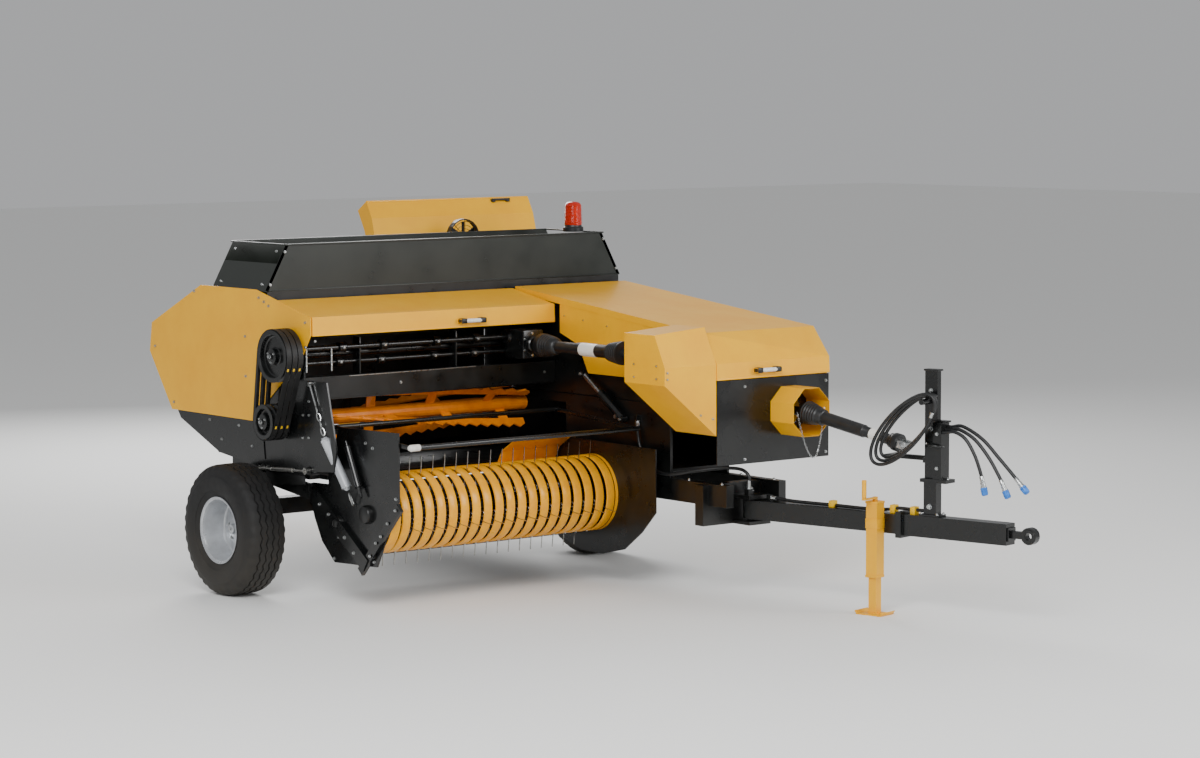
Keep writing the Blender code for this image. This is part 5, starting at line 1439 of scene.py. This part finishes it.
@dataclass
class Running:
    """Fittings of the frame: bolts, turnbuckle, lift cylinder, drawbar, stand and jack."""

    frame_bolts: tuple[Flat, ...] = ((1.241, 0.766), (1.292, 0.723), (1.246, 0.677), (0.99, 0.80), (1.04, 0.845),
                                     (1.085, 0.77), (1.085, 0.64))
    jack_reach: float = 1.02
    jack_aside: float = -0.0903
    stand_reach: float = 1.38

    def frame(self) -> None:
        """Bolt the frame plates and the chamber, and fit the turnbuckle and grease points."""
        piece = Piece().bolts([(-1.2755, *place) for place in self.frame_bolts], (-1, 0, 0), 0.013)
        for y in (-0.7, -0.2, 0.42, 1.5, 2.1, 2.65):
            piece.bolts([(1.2405, y + 0.03, z) for z in (0.80, 0.98, 1.15)], (1, 0, 0), 0.011)
        piece.bolts([(0.6795, y, z) for y in (2.35, 2.68) for z in (0.80, 0.98, 1.15)], (-1, 0, 0), 0.011)
        for y in (1.10, 1.45, 2.20, 2.55):
            piece.bolts([(x, y, 1.1805) for x in (0.76, 1.16)], (0, 0, 1), 0.009)
        piece.bolts([(x, y, 0.7400) for x in (0.74, 1.18) for y in (-1.22, -0.90)], (0, 0, 1), 0.011)
        for x, top, low in ((-1.30, 1.606, 1.46), (-1.11, 1.600, 1.46)):
            piece.join(cylinder((x, 0.41, low), (x, 0.41, top), 0.007, 12, 0.001))
            piece.bolts([(x, 0.41, z) for z in (1.50, 1.555)], (0, 0, 1), 0.009)
        piece.place("frame_bolts", ZINC, "chassis")
        rodding = Piece()
        front, rear = Vector((-1.335, 0.375, 0.841)), Vector((-1.335, 0.900, 0.812))
        rodding.join(cylinder(front.lerp(rear, 0.28), front.lerp(rear, 0.74), 0.013, 6, 0.002),
                     cylinder(front, front.lerp(rear, 0.32), 0.008, 16),
                     cylinder(front.lerp(rear, 0.70), rear, 0.008, 16))
        for end in (front, rear):
            rodding.join(cylinder(end - Vector((0.012, 0, 0)), end + Vector((0.018, 0, 0)), 0.019, 24, 0.003))
            rodding.bolts([end - Vector((0.012, 0, 0))], (-1, 0, 0), 0.010)
        rodding.place("turnbuckle", SPRING_STEEL, "chassis")
        lugs = Piece()
        for end in (front, rear):
            lugs.join(cylinder(end + Vector((0.017, 0, 0)), end + Vector((0.030, 0, 0)), 0.028, 24, 0.003))
        lugs.place("turnbuckle_lugs", CHASSIS_BLACK, "chassis")

    def cylinder(self) -> None:
        """Fit the lift cylinder's gland, eyes, port and rod."""
        low, high = Vector((0.674, -0.31, 1.09)), Vector((0.674, 0.10, 1.36))
        along = (high - low).normalized()
        body = Piece().join(cylinder(low + along * 0.245, low + along * 0.270, 0.032, 32, 0.003),
                            cylinder(low - along * 0.002, low + along * 0.014, 0.031, 32, 0.003),
                            cylinder(low + along * 0.05, low + along * 0.065, 0.0295, 32, 0.002))
        for end in (low, high):
            body.join(cylinder(end - Vector((0.026, 0, 0)), end + Vector((0.026, 0, 0)), 0.024, 28, 0.003))
        body.place("lift_cylinder_gland", BLACK, "chassis")
        bright = Piece().join(cylinder(low + along * 0.268, high, 0.0168, 28),
                              cylinder(low + along * 0.03 + Vector((-0.028, 0, 0)), low + along * 0.03
                                       + Vector((-0.048, 0, 0)), 0.012, 6, 0.001))
        for end in (low, high):
            bright.bolts([end - Vector((0.026, 0, 0))], (-1, 0, 0), 0.012)
        bright.place("lift_cylinder_rod", ZINC, "chassis")

    def drawbar(self) -> None:
        """Bolt the drawbar's joint and stand, ring its eye and pin its pivot."""
        bright, dark = Piece(), Piece()
        bright.bolts([(1.0, -1.20, 0.6805)], (0, 0, 1), 0.024)
        outward = on_drawbar(0, -1, 0) - on_drawbar(0, 0, 0)
        bright.bolts([on_drawbar(self.stand_reach, -0.0205, height) for height in (1.165, 1.40)], outward, 0.015)
        bright.bolts([on_drawbar(self.stand_reach, -0.0305, 0.69)], outward, 0.018)
        bright.bolts([on_drawbar(self.stand_reach + 0.06, -0.0455, height) for height in (0.93, 1.14)], outward, 0.012)
        bright.bolts([on_drawbar(reach, 0, 0.8625) for reach in (1.34, 1.49)], (0, 0, 1), 0.010)
        bright.bolts([on_drawbar(reach, aside, 0.6428) for reach in (1.323, 1.437) for aside in (-0.037, 0.037)],
                     (0, 0, 1), 0.010)
        bright.place("drawbar_bolts", ZINC, "drawbar")
        for height, reach in ((1.525, self.stand_reach), (1.215, self.stand_reach + 0.06)):
            dark.join(turned_to_drawbar(cuboid((-0.03, -reach - 0.055, height - 0.006),
                                               (0.03, -reach + 0.05, height + 0.006), 0.003)))
        guide = []
        for step in range(7):
            turn = step * math.pi / 6
            guide.append(on_drawbar(self.stand_reach + 0.035 + 0.055 * math.cos(turn),
                                    -0.05 * math.sin(turn) - 0.02, 1.06 + 0.02 * step / 6))
        dark.join(wire(guide, 0.009, resolution=2))
        reach = 2.0796
        ring = lathe([(-0.027, 0.024), (-0.027, 0.040), (-0.022, 0.043), (-0.022, 0.024)], "X", (-reach, 0.565), 36,
                     closed=True)
        dark.join(turned_to_drawbar(ring))
        dark.place("drawbar_fittings", BLACK, "drawbar")

    def jack(self) -> None:
        """Fit the jack's collar, clamp band, crank grip and foot flange."""
        reach, aside = self.jack_reach, self.jack_aside
        collar = Piece()
        for low, high, grow in ((0.690, 0.704, 0.004), (0.232, 0.246, 0.003), (0.536, 0.596, 0.003)):
            collar.join(turned_to_drawbar(ring_plate(
                [(aside - 0.04 - grow, -reach - 0.04 - grow), (aside + 0.04, -reach - 0.04 - grow),
                 (aside + 0.04, -reach + 0.04 + grow), (aside - 0.04 - grow, -reach + 0.04 + grow)],
                [(aside - 0.0398, -reach - 0.0398), (aside + 0.0398, -reach - 0.0398),
                 (aside + 0.0398, -reach + 0.0398), (aside - 0.0398, -reach + 0.0398)], "Z", (low, high), 0.001)))
        collar.place("jack_collars", YELLOW, "drawbar")
        grip = Piece().join(cylinder(on_drawbar(reach, aside - 0.119, 0.742), on_drawbar(reach, aside - 0.119, 0.838),
                                     0.0145, 24, 0.004))
        grip.place("jack_crank_grip", YELLOW, "drawbar")
        foot = Piece()
        for out in (-1, 1):
            foot.join(turned_to_drawbar(plate(
                [(-reach + out * 0.09, 0.0), (-reach + out * 0.104, 0.022), (-reach + out * 0.101, 0.025),
                 (-reach + out * 0.084, 0.0075)], "X", (aside - 0.07, aside + 0.07), 0.001)))
            foot.join(turned_to_drawbar(plate(
                [(-reach + out * 0.0275, 0.0075), (-reach + out * 0.062, 0.0075), (-reach + out * 0.0275, 0.0185)],
                "X", (aside - 0.004, aside + 0.004), 0.001)))
        foot.place("jack_foot_flanges", YELLOW, "jack_leg")

    def build(self) -> None:
        """Make every fitting."""
        self.frame()
        self.cylinder()
        self.drawbar()
        self.jack()


@dataclass
class Feeder:
    """What shows under the hood: cross shafts, clamps and the gearboxes' covers."""

    left: float = -1.29
    right: float = 0.70
    gearbox: Point = (0.40, 0.40, 1.555)

    def build(self) -> None:
        """Make the shafts with their collars, and dress the gearboxes."""
        dark, bright = Piece(), Piece()
        for y, z, radius in ((0.47, 1.60, 0.018), (0.50, 1.505, 0.014)):
            dark.join(cylinder((self.left, y, z), (self.gearbox[0] - 0.075, y, z), radius, 24))
            for x in (-1.02, -0.70, -0.28, 0.04):
                dark.join(cylinder((x, y, z), (x + 0.05, y, z), radius + 0.014, 24, 0.003))
                bright.bolts([(x + 0.025, y - radius - 0.0135, z)], (0, -1, 0), 0.009)
        dark.join(cuboid((self.left, 0.452, 1.272), (self.right, 0.458, 1.300), 0.002))
        for x in (-0.86, -0.10):
            dark.join(cuboid((x, 0.462, 1.40), (x + 0.012, 0.54, 1.66), 0.003))
        bright.bolts([(x, 0.4495, 1.35) for x in (-1.22, -0.55, 0.62)], (0, -1, 0), 0.010)
        bright.join(cylinder((-0.95, 0.449, 1.415), (0.05, 0.449, 1.4195), 0.0035, 10))
        dark.place("feeder_cross_shafts", BLACK, "chassis")
        x, y, z = self.gearbox
        case = Piece()
        case.join(cuboid((x - 0.076, y - 0.104, z - 0.096), (x + 0.096, y + 0.104, z + 0.096), 0.014))
        case.join(lathe([(0.262, 0.0), (0.262, 0.045), (0.268, 0.052), (0.296, 0.056), (0.298, 0.0)], "Y",
                        (x, z), 40))
        case.join(lathe([(x - 0.094, 0.0), (x - 0.094, 0.040), (x - 0.088, 0.048), (x - 0.075, 0.052),
                         (x - 0.074, 0.0)], "X", (0.47, 1.60), 40))
        case.place("angle_gearbox_case", BLACK, "chassis", ["angle_gearbox"])
        for step in range(6):
            px, pz = arc((x, z), 0.072, 60 * step + 30, 0, 1)[0]
            bright.bolts([(px, 0.2955, pz)], (0, -1, 0), 0.009)
        bright.place("feeder_fittings", ZINC, "chassis")


class Dressing:
    """Gives every carried-over CAD node its finish and soft edges."""

    yellow = ("end_shield", "feeder_hood", "flywheel_hood", "side_cover", "hood_side_left", "hood_side_right",
              "pto_guard", "knotter_cover", "bale_chute", "jack_tube", "jack_leg")
    black = ("front_plate", "pickup_left_plate", "pickup_right_plate", "housing_end_wall", "lift_cylinder",
             "hose_stand", "drawbar_beam", "hitch_eye", "main_gearbox", "flywheel")
    chassis = ("axle_beam", "chassis_frame", "chamber_floor", "chamber_outer_wall", "chamber_inner_wall",
               "chamber_roof", "feeder_floor", "feeder_beam", "housing_deck", "fan_bracket")

    def apply(self, nodes: dict[str, bpy.types.Object]) -> None:
        """Dress the nodes.

        Args:
            nodes: the frame's nodes by name.
        """
        dress(nodes, self.yellow, YELLOW, 0.0012)
        dress(nodes, self.black, BLACK, 0.002)
        dress(nodes, self.chassis, CHASSIS_BLACK, 0.002)
        dress(nodes, ("twine_box",), BOX_BLACK, 0.0015)
        dress(nodes, ("feeder_rotor",), ORANGE, 0.001)
        dress(nodes, ("fan_rotor",), MOULDED, 0.001)
        dress(nodes, ("knotter_stack", "density_screws"), ZINC, 0.0015)


@dataclass
class Studio:
    """Floor, soft lights and the camera."""

    eye: Point = (-12.766, -16.881, 3.282)
    azimuth: float = math.radians(38.65)
    pitch: float = math.radians(5.17)
    roll: float = math.radians(-0.18)
    lens: float = 99.0

    def camera(self) -> None:
        """Place the camera at its viewing angle."""
        data = bpy.data.cameras.new("camera")
        data.sensor_width = 36.0
        data.lens = self.lens
        data.clip_end = 200.0
        item = bpy.data.objects.new("camera", data)
        bpy.context.scene.collection.objects.link(item)
        look = Vector((math.sin(self.azimuth) * math.cos(self.pitch), math.cos(self.azimuth) * math.cos(self.pitch),
                       -math.sin(self.pitch)))
        turn = look.to_track_quat("-Z", "Y").to_matrix().to_4x4()
        item.matrix_world = Matrix.Translation(self.eye) @ turn @ Matrix.Rotation(self.roll, 4, "Z")
        bpy.context.scene.camera = item

    def light(self, name: str, place: Point, size: float, power: float) -> None:
        """Add one soft area light that looks at the machine's middle.

        Args:
            name: the light's name.
            place: where it stands.
            size: the side of its square.
            power: its power in watts.
        """
        data = bpy.data.lights.new(name, "AREA")
        data.size = size
        data.energy = power
        item = bpy.data.objects.new(name, data)
        bpy.context.scene.collection.objects.link(item)
        look = Vector((0, 0, 0.9)) - Vector(place)
        item.matrix_world = Matrix.Translation(place) @ look.to_track_quat("-Z", "Y").to_matrix().to_4x4()

    def build(self) -> None:
        """Lay the floor, light it and fill the surroundings."""
        shape = bmesh.new()
        bmesh.ops.create_grid(shape, x_segments=1, y_segments=1, size=60.0)
        data = bpy.data.meshes.new("floor")
        shape.to_mesh(data)
        shape.free()
        floor = bpy.data.objects.new("floor", data)
        bpy.context.scene.collection.objects.link(floor)
        made = bpy.data.materials.new("pale_floor")
        made.use_nodes = True
        shader = made.node_tree.nodes["Principled BSDF"]
        shader.inputs["Base Color"].default_value = linear("#F4F4F2")
        shader.inputs["Roughness"].default_value = 0.85
        data.materials.append(made)
        self.light("key", (-8.0, -8.0, 8.0), 6.0, 1350)
        self.light("front_fill", (5.0, -10.0, 5.0), 5.0, 600)
        self.light("rear_fill", (4.0, 9.0, 6.0), 5.0, 700)
        world = bpy.data.worlds.new("studio")
        world.use_nodes = True
        back = world.node_tree.nodes["Background"]
        back.inputs["Color"].default_value = linear("#F1F2F4")
        back.inputs["Strength"].default_value = 0.5
        bpy.context.scene.world = world


def main() -> None:
    """Build every sub-assembly round the frame."""
    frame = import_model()
    logging.basicConfig(level=logging.INFO, format="%(message)s")
    studio = Studio()
    studio.camera()
    Hoses().build()
    studio.build()
    Dressing().apply(frame["nodes"])
    for wheel in (Wheel("right", -1), Wheel("left", 1)):
        wheel.tyre()
        wheel.rim()
    BeltDrive().build()
    Pickup().build()
    Hoods().build()
    TwineBox().build()
    Knotters().build()
    Shafts().build()
    Running().build()
    Feeder().build()


if __name__ == "__main__":
    main()
